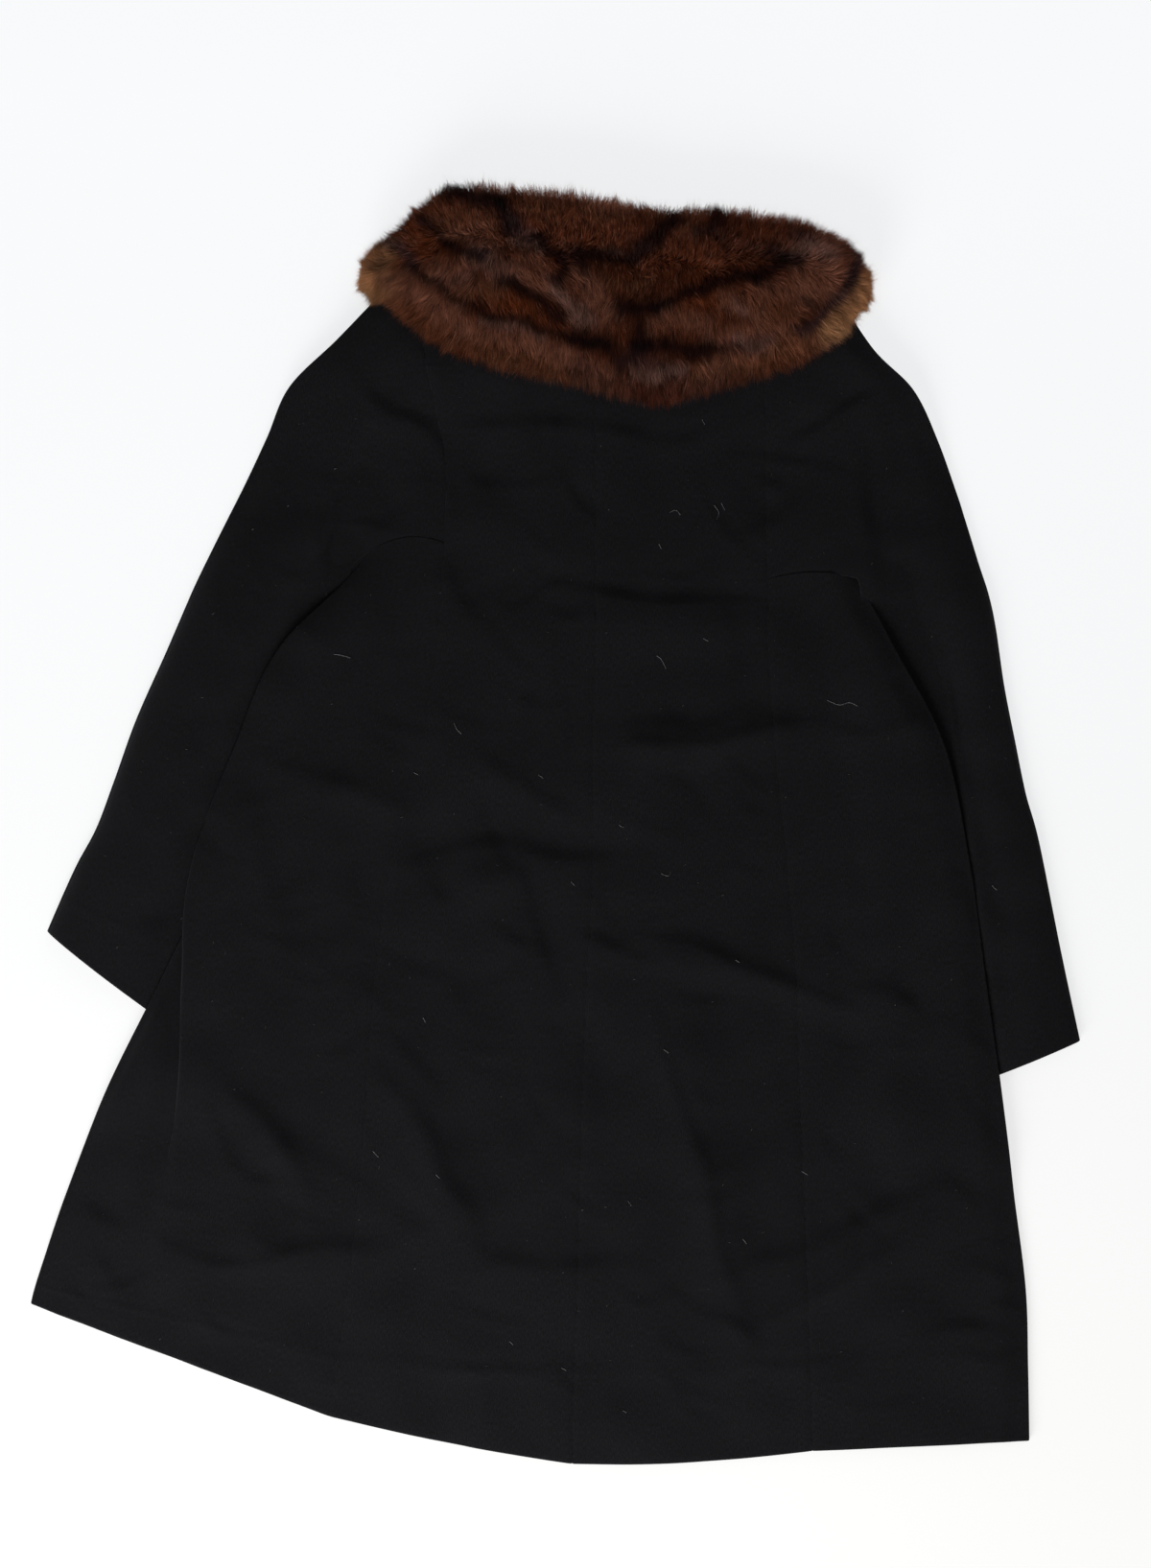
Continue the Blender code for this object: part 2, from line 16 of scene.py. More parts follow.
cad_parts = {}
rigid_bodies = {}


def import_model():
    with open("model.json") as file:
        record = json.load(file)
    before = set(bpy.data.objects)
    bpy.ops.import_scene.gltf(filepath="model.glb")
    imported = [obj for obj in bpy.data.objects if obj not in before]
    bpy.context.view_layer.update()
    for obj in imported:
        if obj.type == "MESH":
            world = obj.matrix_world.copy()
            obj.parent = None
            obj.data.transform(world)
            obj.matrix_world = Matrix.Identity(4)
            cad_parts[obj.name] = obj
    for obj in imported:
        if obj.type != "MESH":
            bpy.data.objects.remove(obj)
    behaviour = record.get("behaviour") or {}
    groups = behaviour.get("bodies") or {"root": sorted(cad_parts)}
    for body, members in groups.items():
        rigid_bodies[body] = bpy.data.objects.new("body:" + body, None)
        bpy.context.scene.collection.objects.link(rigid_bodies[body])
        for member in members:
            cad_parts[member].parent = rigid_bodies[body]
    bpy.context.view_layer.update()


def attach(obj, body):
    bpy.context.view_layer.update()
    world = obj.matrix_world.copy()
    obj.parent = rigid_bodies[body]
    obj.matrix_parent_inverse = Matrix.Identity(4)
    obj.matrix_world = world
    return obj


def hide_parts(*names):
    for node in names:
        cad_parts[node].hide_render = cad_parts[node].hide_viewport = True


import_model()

MM = 0.001
SIDES = ("left", "right")
RANDOM = np.random.default_rng(41)

# Sizes of the cloth and how its layers lie, as in the solids
CLOTH = 2.5 * MM
SEAM = 0.3 * MM
LOFT = 1.2 * MM
FOLD_ROOM = 2.4 * MM  # the air below the back that its folds rise from
ON_FRONTS = 1.5 * CLOTH + SEAM  # the middle of a layer that lies on the fronts
EDGE_ROLL = 24 * MM
FRONT_OVERLAP = 30 * MM
OVERLAP_LIFT = CLOTH + 0.9 * MM
OVERLAP_FROM = 0.625
OVERLAP_SPREAD = (5 * MM, 8 * MM)
COLLAR_PILE_FRONT = 14 * MM
SLEEVE_STACK = 2 * CLOTH + 3 * SEAM
CENTRE_X = 31 * MM
NECK_SIDE_LEFT, NECK_SIDE_RIGHT = -112 * MM, 170 * MM
NECK_SEAM_Y = 450 * MM

# The cloth's edge lines. Each row is one step down the coat, and a smooth line joins them.
BACK_COLUMNS = ("left_x", "left_y", "centre_x", "centre_y", "right_x", "right_y")
BACK_ROWS = [
    (-112, 446, 33, 448, 170, 446),
    (-109, 390, 33, 392, 172, 386),
    (-98, 335, 33, 337, 174, 325),
    (-91, 284, 33, 288, 175, 262),
    (-93, 231, 33, 232, 177, 201),
    (-98, 150, 33, 150, 177, 140),
    (-112, 60, 31, 60, 183, 55),
    (-137, -40, 31, -40, 193, -40),
    (-150, -130, 26, -130, 200, -130),
    (-157, -220, 23, -220, 203, -220),
    (-164, -310, 20, -310, 207, -310),
    (-174, -400, 18, -400, 210, -400),
    (-182, -455, 15, -470, 212, -460),
    (-188, -495, 14, -534, 214, -524),
]

# The row of the underarm, the rows that the underarm seam takes, and how far it bows up.
UNDERARM_ROW = 4
UNDERARM_ROWS = 3
UNDERARM_BOW = {"left": 12 * MM, "right": 5 * MM}
# How far the hem curves down at the middle of a centre panel.
HEM_BOW = {"left": 3 * MM, "right": 4 * MM}

PLEAT_COLUMNS = ("fold_x", "side_x", "side_y", "turn_in", "height", "opened")
PLEAT_ROWS = [
    (-168, -168, 214, 10, 9, 1.0),
    (-221, -198, 150, 46, 11, 0.0),
    (-266, -236, 60, 52, 9, 0.0),
    (-302, -282, -40, 46, 9, 0.0),
    (-309, -326, -130, 40, 7, 0.0),
    (-311, -373, -225, 26, 7, 0.3),
    (-318, -407, -312, 12, 9, 1.0),
    (-330, -425, -365, 10, 7, 1.0),
    (-340, -433, -390, 10, 5, 1.0),
    (-350, -436, -402, 10, 4, 1.0),
]

RIGHT_SIDE_COLUMNS = ("side_x", "side_y")
RIGHT_SIDE_ROWS = [
    (251, 202),
    (280, 146),
    (323, 62),
    (345, -42),
    (357, -130),
    (369, -215),
    (381, -310),
    (391, -390),
    (393, -455),
    (394, -516),
]
SIDE_TABLES = {"left": (PLEAT_ROWS, PLEAT_COLUMNS), "right": (RIGHT_SIDE_ROWS, RIGHT_SIDE_COLUMNS)}

SLEEVE_COLUMNS = ("outer_x", "outer_y", "inner_x", "inner_y", "free")
SLEEVE_ROWS = {
    "left": [
        (-138, 443, -112, 446, 0),
        (-180, 399, -109, 390, 0),
        (-220, 360, -98, 335, 0),
        (-239, 319, -91, 284, 0),
        (-258, 279, -93, 231, 0),
        (-270, 255, -118, 237, 0),
        (-282, 231, -143, 232, 0),
        (-298, 198, -168, 214, 0),
        (-311, 168, -174, 176, 1),
        (-324, 138, -188, 144, 1),
        (-348, 84, -213, 95, 1),
        (-366, 34, -226, 36, 1),
        (-381, -6, -240, -15, 1),
        (-397, -36, -257, -68, 1),
        (-409, -62, -276, -120, 1),
        (-422, -92, -300, -188, 1),
    ],
    "right": [
        (230, 441, 170, 446, 0),
        (263, 391, 172, 386, 0),
        (297, 357, 174, 325, 0),
        (318, 315, 175, 262, 0),
        (334, 271, 177, 201, 0),
        (340, 252, 202, 206, 0),
        (345, 236, 226, 207, 0),
        (352, 213, 251, 202, 0),
        (360, 188, 257, 170, 1),
        (366, 160, 270, 142, 1),
        (373, 112, 287, 100, 1),
        (382, 66, 290, 40, 1),
        (391, 22, 293, -30, 1),
        (402, -18, 296, -100, 1),
        (420, -108, 299, -175, 1),
        (436, -183, 300, -240, 1),
    ],
}

# The body's wide folds: from, to, half width and height.
FOLDS = [
    (-105, -24, 75, -28, 22, -2.6),
    (-95, -48, -20, -46, 24, 5.0),
    (-20, 198, 165, 186, 20, -2.4),
    (0, 165, 160, 160, 30, 4.0),
    (40, 62, 205, 78, 26, 4.5),
    (45, 82, 195, 100, 16, -2.2),
    (200, 74, 310, 92, 26, 3.6),
    (30, -104, 250, -150, 26, 4.5),
    (60, -130, 200, -150, 16, -2.0),
    (88, -140, 165, -430, 30, 6.0),
    (165, -434, 320, -310, 26, 4.5),
    (-140, -185, -68, -360, 34, 5.0),
    (-265, -240, -205, -300, 22, 4.0),
    (-320, -355, -150, -358, 26, 3.6),
    (-230, 48, -105, 8, 24, 3.6),
    (-110, 60, 10, 20, 26, 4.0),
    (-100, 330, -92, 240, 16, -2.4),
    (190, 335, 235, 355, 20, 3.0),
]

# The creases, each along its own points: half the width of the slope from crest to trough, how deep the
# trough is and how high the crest stands. The crest lies on the side that faces the hem and the left.
CREASES = [
    # the upper back, below the collar
    ([(-150, 352), (-112, 333), (-60, 331), (-2, 332), (57, 325), (94, 316), (130, 326),
      (162, 339)], 10, 2.1, 1.2),
    ([(-171, 380), (-143, 346), (-114, 334), (-92, 308), (-86, 271), (-82, 232)], 11, 3.1, 1.4),
    ([(-88, 214), (-80, 190), (-66, 168)], 12, 3.3, 1.4),
    ([(7, 289), (21, 262), (39, 253)], 6, 1.7, 0.9),
    ([(-25, 244), (2, 221)], 8, 1.2, 0.7),
    ([(-70, 290), (-52, 274)], 9, 1.2, 0.6),
    ([(20, 204), (70, 205), (121, 202)], 5, 0.8, 0.6),
    ([(-30, 176), (-20, 188), (2, 198), (28, 194), (57, 188), (84, 184), (124, 185),
      (166, 185)], 5, 1.8, 1.7),
    ([(-34, 106), (-8, 96), (18, 102)], 10, 1.8, 1.2),
    ([(143, 182), (150, 150), (147, 112)], 12, 1.9, 0.9),
    ([(150, 238), (168, 244), (186, 256), (196, 272)], 11, 3.1, 1.7),
    ([(196, 316), (207, 322), (222, 331), (238, 343), (262, 356)], 8, 4.2, 1.9),
    ([(150, 306), (185, 302), (218, 297), (248, 289)], 7, 1.7, 0.9),
    ([(168, 285), (186, 278), (190, 262)], 10, 1.7, 0.9),
    # the waist
    ([(39, 57), (52, 64), (71, 67), (116, 66), (148, 71), (185, 82), (226, 85)], 7, 2.6, 1.9),
    ([(66, 80), (88, 84), (114, 81)], 8, 1.7, 0.9),
    ([(100, 34), (118, 18), (130, 2)], 13, 2.1, 0.9),
    ([(230, 80), (262, 74), (308, 90)], 8, 1.9, 1.4),
    ([(-64, 60), (-38, 39), (-2, 16), (30, -2)], 9, 2.1, 1.2),
    ([(8, 112), (10, 58), (-2, 20)], 7, 1.2, 0.6),
    ([(-236, 52), (-198, 39), (-170, 32), (-150, 22), (-111, 7)], 9, 2.4, 1.4),
    ([(-118, -34), (-93, -22), (-60, -17), (-38, -17), (-20, -24), (18, -30)], 9, 3.5, 2.1),
    ([(-34, -8), (-8, -24), (24, -28), (74, -26)], 8, 2.1, 1.4),
    ([(-106, -44), (-98, -58), (-84, -66)], 10, 1.9, 0.9),
    ([(-28, -34), (-22, -60), (-16, -84), (-8, -112), (2, -138)], 7, 2.1, 1.2),
    ([(29, -92), (50, -104), (78, -116)], 7, 2.1, 1.4),
    ([(38, -70), (44, -80), (56, -90)], 6, 1.4, 0.9),
    ([(70, -94), (112, -99), (148, -115), (189, -131), (230, -148), (256, -156)], 7, 2.6, 1.8),
    ([(246, -140), (270, -138), (288, -144), (306, -162)], 8, 2.1, 1.4),
    ([(66, -136), (84, -133), (100, -136)], 8, 1.4, 0.9),
    ([(-134, -124), (-112, -126), (-88, -132), (-74, -158)], 10, 1.8, 0.9),
    # the skirt
    ([(-138, -174), (-122, -193), (-100, -215)], 6, 1.4, 0.9),
    ([(-146, -206), (-119, -234), (-100, -264), (-88, -298), (-68, -324), (-60, -352)], 12, 3.1, 2.1),
    ([(-74, -346), (-54, -360), (-24, -366), (12, -368), (46, -364), (72, -368)], 9, 1.8, 1.4),
    ([(-78, -210), (-26, -217), (14, -220)], 12, 1.1, 0.7),
    ([(-200, -278), (-178, -290), (-152, -306)], 8, 1.5, 0.9),
    ([(-144, -318), (-124, -330), (-104, -342)], 9, 1.3, 0.8),
    ([(84, -150), (92, -186), (101, -220), (115, -256), (131, -300), (138, -350), (152, -388),
      (166, -430)], 10, 2.6, 1.7),
    ([(92, -385), (112, -400), (132, -412)], 9, 1.2, 0.8),
    ([(152, -366), (185, -360), (214, -351), (253, -332), (295, -309), (326, -300),
      (350, -314)], 12, 3.5, 2.6),
    ([(168, -420), (182, -409), (207, -397), (245, -374), (284, -347), (300, -328)], 9, 2.2, 1.7),
    ([(124, -410), (146, -414), (166, -430)], 8, 1.7, 1.2),
    ([(312, -424), (340, -418), (370, -421)], 10, 2.4, 1.7),
    ([(346, -366), (364, -372), (382, -383)], 7, 1.1, 0.7),
    ([(-272, -214), (-262, -228), (-243, -242), (-221, -271), (-204, -304)], 11, 3.3, 2.1),
    ([(-288, -226), (-281, -252), (-268, -281), (-252, -296), (-211, -300)], 8, 1.9, 1.2),
    ([(-326, -348), (-300, -360), (-281, -366), (-252, -366), (-230, -360), (-195, -351),
      (-140, -353)], 9, 2.2, 1.7),
    ([(-394, -314), (-380, -326), (-362, -336)], 8, 2.1, 1.2),
    ([(-382, -358), (-372, -374), (-360, -391)], 9, 1.9, 0.9),
    ([(-250, 20), (-232, -50), (-220, -110)], 16, 1.4, 0.7),
    ([(238, 20), (250, -60), (262, -110)], 14, 1.4, 0.7),
    ([(-170, -30), (-160, -100), (-156, -150)], 13, 1.2, 0.6),
    ([(180, -190), (196, -240), (204, -290)], 13, 1.2, 0.7),
    ([(20, -160), (34, -230), (38, -290)], 14, 1.1, 0.6),
    # the sleeves
    ([(-198, 226), (-212, 190), (-242, 144), (-268, 96), (-288, 52), (-306, 4), (-324, -48),
      (-338, -98)], 15, 4.0, 2.6),
    ([(-164, 320), (-172, 298), (-182, 273), (-190, 245), (-192, 210)], 10, 8.8, 2.1),
    ([(-150, 300), (-146, 276), (-156, 246)], 10, 1.9, 0.9),
    ([(-130, 262), (-150, 250), (-168, 250)], 9, 1.4, 0.7),
    ([(252, 322), (256, 300), (260, 258), (264, 236), (270, 200)], 12, 5.0, 1.9),
    ([(262, 352), (276, 330), (282, 300)], 12, 1.7, 0.9),
    ([(266, 200), (284, 160), (310, 106), (336, 52), (350, -10), (360, -70), (368, -130),
      (376, -190)], 13, 3.5, 2.6),
    ([(326, 112), (332, 80), (334, 50)], 8, 1.7, 0.9),
    ([(-350, -74), (-336, -84), (-316, -84)], 11, 1.1, 0.7),
    ([(362, -60), (372, -84), (376, -120)], 12, 1.2, 0.7),
]


# ------------------------------------------------------------
# Heights of the layers, for arrays of x and y


def smooth(low, high, value):
    """0 below low, 1 above high, and an even S between."""
    t = np.clip((value - low) / (high - low), 0.0, 1.0)
    return t * t * (3 - 2 * t)


def bell(value, width=1.0):
    """1 where the value is 0, and less the further it is from 0 either way."""
    return np.exp(-((value / width) ** 2))


def smooth_line(points, steps):
    """A smooth curve through points, with steps places between each two."""
    points = np.asarray(points, float)
    padded = np.vstack([points[0], points, points[-1]])
    line = []
    for p0, p1, p2, p3 in zip(padded, padded[1:], padded[2:], padded[3:]):
        t = (np.arange(steps) / steps)[:, None]
        bend = 2 * p1 + (p2 - p0) * t + (2 * p0 - 5 * p1 + 4 * p2 - p3) * t**2
        line.append(0.5 * (bend + (3 * p1 - p0 - 3 * p2 + p3) * t**3))
    return np.vstack(line + [points[-1:]])


def from_stretch(start, end, x, y):
    """Each place by a straight stretch: the share of the way along it, and how far off in x and in y."""
    way = end - start
    share = np.clip(((x - start[0]) * way[0] + (y - start[1]) * way[1]) / (way @ way), 0, 1)
    return share, x - start[0] - share * way[0], y - start[1] - share * way[1]


def reached(line):
    """How far along a line each of its points is."""
    return np.concatenate([[0], np.cumsum(np.hypot(*np.diff(line, axis=0).T))])


def by_line(line, x, y):
    """Each place by a line: how far from it, how far across it, and how far along it."""
    nearest, across, along = np.full(x.shape, 1e9), np.zeros_like(x), np.zeros_like(x)
    for start, end, done in zip(line, line[1:], reached(line)):
        way = end - start
        length = np.hypot(*way)
        share, off_x, off_y = from_stretch(start, end, x, y)
        away = np.hypot(off_x, off_y)
        closer = away < nearest
        nearest = np.where(closer, away, nearest)
        across = np.where(closer, (way[0] * off_y - way[1] * off_x) / length, across)
        along = np.where(closer, done + share * length, along)
    return nearest, across, along


def fold_height(x, y):
    """The sum of the wide soft folds."""
    total = np.zeros_like(x)
    for row in FOLDS:
        from_x, from_y, to_x, to_y, half_width, height = np.array(row) * MM
        share, off_x, off_y = from_stretch(np.array([from_x, from_y]), np.array([to_x, to_y]), x, y)
        away = np.hypot(off_x, off_y) / half_width
        total += height * (0.35 + 0.65 * np.sin(math.pi * share)) * np.exp(-1.4 * away * away)
    return total


# The main light comes from here, in x and y: every crease turns its crest to it.
TO_LIGHT = (-0.43, -0.90)
CREASE_PACE = 9 * MM  # how far apart a crease gets deeper and shallower again, over 2 pi


def crease_height(x, y):
    """The creases: a soft rise to a crest, a steep slope down into a trough, and a long way back up."""
    total = np.zeros_like(x)
    for points, width, depth, crest in CREASES:
        line = smooth_line(points, 6) * MM
        way = line[-1] - line[0]
        side = 1 if TO_LIGHT[1] * way[0] - TO_LIGHT[0] * way[1] > 0 else -1
        away, across, along = by_line(line, x, y)
        fade = np.sin(math.pi * np.clip(0.05 + 0.9 * along / reached(line)[-1], 0, 1)) ** 0.7
        fade *= 0.8 + 0.2 * np.sin(along / CREASE_PACE + 900 * line[0, 0])
        beyond = np.sqrt(np.maximum(away**2 - across**2, 0)) / (width * MM)
        q = -across * side / (width * MM)
        trough = bell(q - 0.7, np.where(q < 0.7, 0.8, 2.8))
        rise = np.where(q > -0.7, bell(q + 0.7, 0.7), np.exp((q + 0.7) / 2.2))
        total += fade * bell(beyond) * (crest * rise - depth * trough) * MM
    return total


# Many short slight creases with no order: the middle's x and y, the turn, and how far each reaches.
SMALL_CREASES = [
    (
        RANDOM.uniform(-0.42, 0.42),
        RANDOM.uniform(-0.5, 0.4),
        RANDOM.normal(0, 0.7),
        RANDOM.uniform(0.012, 0.034),
    )
    for _ in range(190)
]
SMALL_CREASE_DEPTH = 0.85 * MM
SMALL_CREASE_WIDTH = 5 * MM


def small_crease_height(x, y):
    """The sum of the small creases, each a little bent."""
    total = np.zeros_like(x)
    for middle_x, middle_y, turn, reach in SMALL_CREASES:
        cos, sin = math.cos(turn), math.sin(turn)
        along = ((x - middle_x) * cos + (y - middle_y) * sin) / reach
        across = ((y - middle_y) * cos - (x - middle_x) * sin) / SMALL_CREASE_WIDTH
        bend = across - 0.9 * along * along
        total -= SMALL_CREASE_DEPTH * bell(along) * bend * np.exp(-0.5 * bend * bend)
    return total


# The slight uneven swell of heavy cloth: each wave's length, direction, phase and share.
WAVE_RANGES = ((0.035, 0.12), (0, math.pi), (0, 2 * math.pi), (0.5, 1))
WAVES = [[RANDOM.uniform(low, high) for low, high in WAVE_RANGES] for _ in range(26)]
WAVE_STEEPNESS = 0.0034


def waviness(x, y):
    """The sum of the waves, about 1 mm either way."""
    total = np.zeros_like(x)
    for length, angle, phase, share in WAVES:
        along = x * math.cos(angle) + y * math.sin(angle)
        total += share * length * np.sin(2 * math.pi * along / length + phase)
    return total * WAVE_STEEPNESS


# The stretch of y in which the front collar below lifts the cloth more and more.
COLLAR_LIFT = (285 * MM, 402 * MM)
# Where the body lies on a sleeve: which way in x the sleeve's inner edge faces, a point on that edge, the
# change of its x with y, and the stretches of y in which the lift begins and ends.
SLEEVE_LIFTS = [
    (1, (-168, 214), 0.324, (-275, -215), (146, 212)),
    (-1, (284, 120), -0.045, (-325, -265), (146, 202)),
]
LIFT_REACH = (12 * MM, 62 * MM)


def sleeve_lift(x, y):
    """How far the body rises where it lies on a sleeve."""
    lifts = []
    for inward, (edge_x, edge_y), slope, begins, ends in SLEEVE_LIFTS:
        edge = edge_x * MM + (y - edge_y * MM) * slope
        lift = 1 - smooth(*LIFT_REACH, inward * (x - edge))
        lift = lift * smooth(begins[0] * MM, begins[1] * MM, y)
        lifts.append(lift * (1 - smooth(ends[0] * MM, ends[1] * MM, y)))
    return SLEEVE_STACK * np.maximum(*lifts)


def overlap_cover(x):
    """How far the back rises over the two fronts' overlap."""
    full_left = CENTRE_X - FRONT_OVERLAP - OVERLAP_SPREAD[0]
    full_right = CENTRE_X + FRONT_OVERLAP + OVERLAP_SPREAD[1]
    left = (x - NECK_SIDE_LEFT) / (full_left - NECK_SIDE_LEFT)
    right = (NECK_SIDE_RIGHT - x) / (NECK_SIDE_RIGHT - full_right)
    return OVERLAP_LIFT * np.clip(np.minimum(left, right), 0, 1)


def front_floor(x, y):
    """The underside of the fronts, over the front collar and the sleeves."""
    return COLLAR_PILE_FRONT * smooth(*COLLAR_LIFT, y) + sleeve_lift(x, y)


def back_floor(x, y, edge=1.0):
    """The underside of the back. edge is the distance to the nearest side edge."""
    open_share = smooth(0, EDGE_ROLL, np.asarray(edge, float) + 0 * x)
    air = LOFT + np.maximum(fold_height(x, y) + FOLD_ROOM, 0)
    return front_floor(x, y) + CLOTH + overlap_cover(x) + SEAM + air * open_share


def relief(x, y):
    """What the visible side has more than the solids: creases and waviness."""
    return crease_height(x, y) + small_crease_height(x, y) + waviness(x, y)


# ------------------------------------------------------------
# Making walls of cloth


def line_of(table, columns, x_name, y_name, steps):
    """The smooth line that two columns of a table give, in metres."""
    ix, iy = columns.index(x_name), columns.index(y_name)
    return smooth_line([(row[ix], row[iy]) for row in table], steps) * MM


def column_of(table, columns, name, steps):
    """One column of a table on the same smooth steps, unscaled."""
    index = columns.index(name)
    return smooth_line([(row[index], 0) for row in table], steps)[:, 0]


def shares_across(count):
    """Shares from 0 to 1 that lie closer together at the two edges, where the seams are."""
    near = np.array([0.004, 0.010, 0.020, 0.036])
    middle = np.linspace(near[-1], 1 - near[-1], count)[1:-1]
    return np.concatenate([[0.0], near, middle, 1 - near[::-1], [1.0]])


ROW_STEPS = 20  # fine rows between two rows of a table
HIDDEN_STEPS = 4
ROW_PITCH = 60 * MM  # about how far a side's first rows are apart
UNDERARM_FADE = 2  # the rows in which a side panel leaves the curve of its underarm seam
FINE_SHARES = shares_across(46)
PLAIN_SHARES = np.linspace(0, 1, 13)
RIM = 0.9 * MM  # how far a wall's rounded rim stands out


def add_object(name, data):
    """An object in the scene that shows some data."""
    made = bpy.data.objects.new(name, data)
    bpy.context.scene.collection.objects.link(made)
    return made


def add_mesh(name, points, faces, uv=None):
    """A smooth mesh from arrays: its points, its faces' corners, and each point's place on the cloth."""
    mesh = bpy.data.meshes.new(name)
    mesh.vertices.add(len(points))
    mesh.vertices.foreach_set("co", np.asarray(points, np.float32).ravel())
    corners = faces.ravel().astype(np.int32)
    mesh.loops.add(len(corners))
    mesh.loops.foreach_set("vertex_index", corners)
    mesh.polygons.add(len(faces))
    mesh.polygons.foreach_set("loop_start", np.arange(0, len(corners), faces.shape[1], dtype=np.int32))
    mesh.update(calc_edges=True)
    mesh.validate()
    if uv is not None:
        mesh.uv_layers.new(name="cloth").data.foreach_set("uv", uv[corners].astype(np.float32).ravel())
    mesh.shade_smooth()
    return add_object(name, mesh)


def grid_lengths(grid, axis):
    """How far along the grid's rows or columns each of its points is."""
    return np.insert(np.cumsum(np.linalg.norm(np.diff(grid, axis=axis), axis=2), axis=axis), 0, 0, axis=axis)


def faces_inward(corners):
    """Whether a closed mesh's faces, given as their corners' points, look inward."""
    first, second, third, fourth = corners.transpose(1, 0, 2)
    return (first * (np.cross(second, third) + np.cross(third, fourth))).sum() < 0


def wall_of(name, upper, lower, rim_out=RIM):
    """A closed wall between an upper and a lower grid, its rim rounded outward."""
    rows, columns = upper.shape[:2]
    count = rows * columns
    index = np.arange(count).reshape(rows, columns)
    loop = np.concatenate([index[0, :-1], index[:-1, -1], index[-1, :0:-1], index[:0:-1, 0]])
    flat_upper, flat_lower = upper.reshape(-1, 3), lower.reshape(-1, 3)
    middle = (flat_upper[loop] + flat_lower[loop]) / 2
    along = np.roll(middle, -1, axis=0) - np.roll(middle, 1, axis=0)
    outward = np.stack([along[:, 1], -along[:, 0], np.zeros(len(loop))], axis=1)
    outward /= np.maximum(np.linalg.norm(outward, axis=1), 1e-9)[:, None]
    if ((middle - flat_upper.mean(axis=0)) * outward).sum() < 0:
        outward = -outward
    points = np.vstack([flat_upper, flat_lower, middle + outward * rim_out])
    quads = np.stack([index[:-1, :-1], index[:-1, 1:], index[1:, 1:], index[1:, :-1]], axis=2).reshape(-1, 4)
    rim = 2 * count + np.arange(len(loop))
    next_loop, next_rim = np.roll(loop, -1), np.roll(rim, -1)
    side_upper = np.stack([next_loop, loop, rim, next_rim], axis=1)
    side_lower = np.stack([next_rim, rim, loop + count, next_loop + count], axis=1)
    faces = np.vstack([quads, quads[:, ::-1] + count, side_upper, side_lower])
    if faces_inward(points[faces]):
        faces = faces[:, ::-1]
    across, down = grid_lengths(upper, 1), grid_lengths(upper, 0)
    weave = np.stack([across - across.mean(axis=1, keepdims=True), down], axis=2).reshape(-1, 2)
    made = add_mesh(name, points, faces, np.vstack([weave, weave, weave[loop]]))
    made.data.set_sharp_from_angle(angle=math.radians(35))
    made["cut_width"] = float(across[:, -1].max())
    made["cut_length"] = float(down[-1].max())
    squares = np.cross(upper[1:, :-1] - upper[:-1, :-1], upper[:-1, 1:] - upper[:-1, :-1])
    made["cut_area"] = float(np.linalg.norm(squares, axis=2).sum())
    return made


def add_cloth(name, grid, low, thick=CLOTH):
    """A piece of the coat on a grid of places, from the heights of its underside."""
    return wall_of("coat_" + name, np.dstack([grid, low + thick]), np.dstack([grid, low]))


SEAM_DEPTH, SEAM_WIDTH = 0.33 * MM, 1.8 * MM
PUCKER_HEIGHT, PUCKER_WIDTH = 0.16 * MM, 9 * MM
PUCKER_LENGTHS = (5.6 * MM, 2.9 * MM)  # over 2 pi
PUCKER_STARTS = (1.1, 2.6)  # where the puckers' waves start at a panel's two edges


def seam_line(along, to_edge, start):
    """A sewn edge: its soft groove, the allowance's swell beside it, and the uneven pull of the stitches."""
    swell = 0.35 * bell(to_edge - 3.4 * SEAM_WIDTH, 2.2 * SEAM_WIDTH)
    long, short = (along / length for length in PUCKER_LENGTHS)
    wave = np.sin(long + start) + 0.7 * np.sin(short + 2.3 * start)
    pucker = PUCKER_HEIGHT * bell(to_edge, PUCKER_WIDTH) * wave
    return SEAM_DEPTH * (swell - bell(to_edge, SEAM_WIDTH)) + pucker


def panel_grid(start, end, shares, inset_start=SEAM / 2, inset_end=SEAM / 2):
    """Points across from one edge line to the other, and their distances to the two edges."""
    across = end - start
    width = np.linalg.norm(across, axis=1, keepdims=True)
    unit = across / np.maximum(width, 1e-6)
    first, last = start + unit * inset_start, end - unit * inset_end
    grid = first[:, None, :] + (last - first)[:, None, :] * shares[None, :, None]
    return grid, width * shares[None, :], width * (1 - shares[None, :])


def back_line(name, steps):
    """The princess seam of a side, or the centre back seam, from the neck to the hem."""
    return line_of(BACK_ROWS, BACK_COLUMNS, name + "_x", name + "_y", steps)


def side_rows(side, steps):
    """The princess seam and the side seam of a side panel, from the underarm to the hem."""
    table, columns = SIDE_TABLES[side]
    return back_line(side, steps)[UNDERARM_ROW * steps :], line_of(table, columns, "side_x", "side_y", steps)


def sleeve_rows(side, steps):
    """The outer and inner edges of a sleeve, how free each row is, and its underarm seam."""
    table = SLEEVE_ROWS[side]
    outer = line_of(table, SLEEVE_COLUMNS, "outer_x", "outer_y", steps)
    inner = line_of(table, SLEEVE_COLUMNS, "inner_x", "inner_y", steps)
    free = np.clip(column_of(table, SLEEVE_COLUMNS, "free", steps), 0, 1)
    first = UNDERARM_ROW * steps
    last = first + UNDERARM_ROWS * steps
    inner[: first + 1] = back_line(side, steps)[: first + 1]
    share = np.linspace(0, 1, last - first + 1)[:, None]
    underarm = inner[first] * (1 - share) + inner[last] * share
    underarm[:, 1:] += 4 * UNDERARM_BOW[side] * share * (1 - share)
    inner[first : last + 1] = underarm
    return outer, inner, free[:, None], underarm


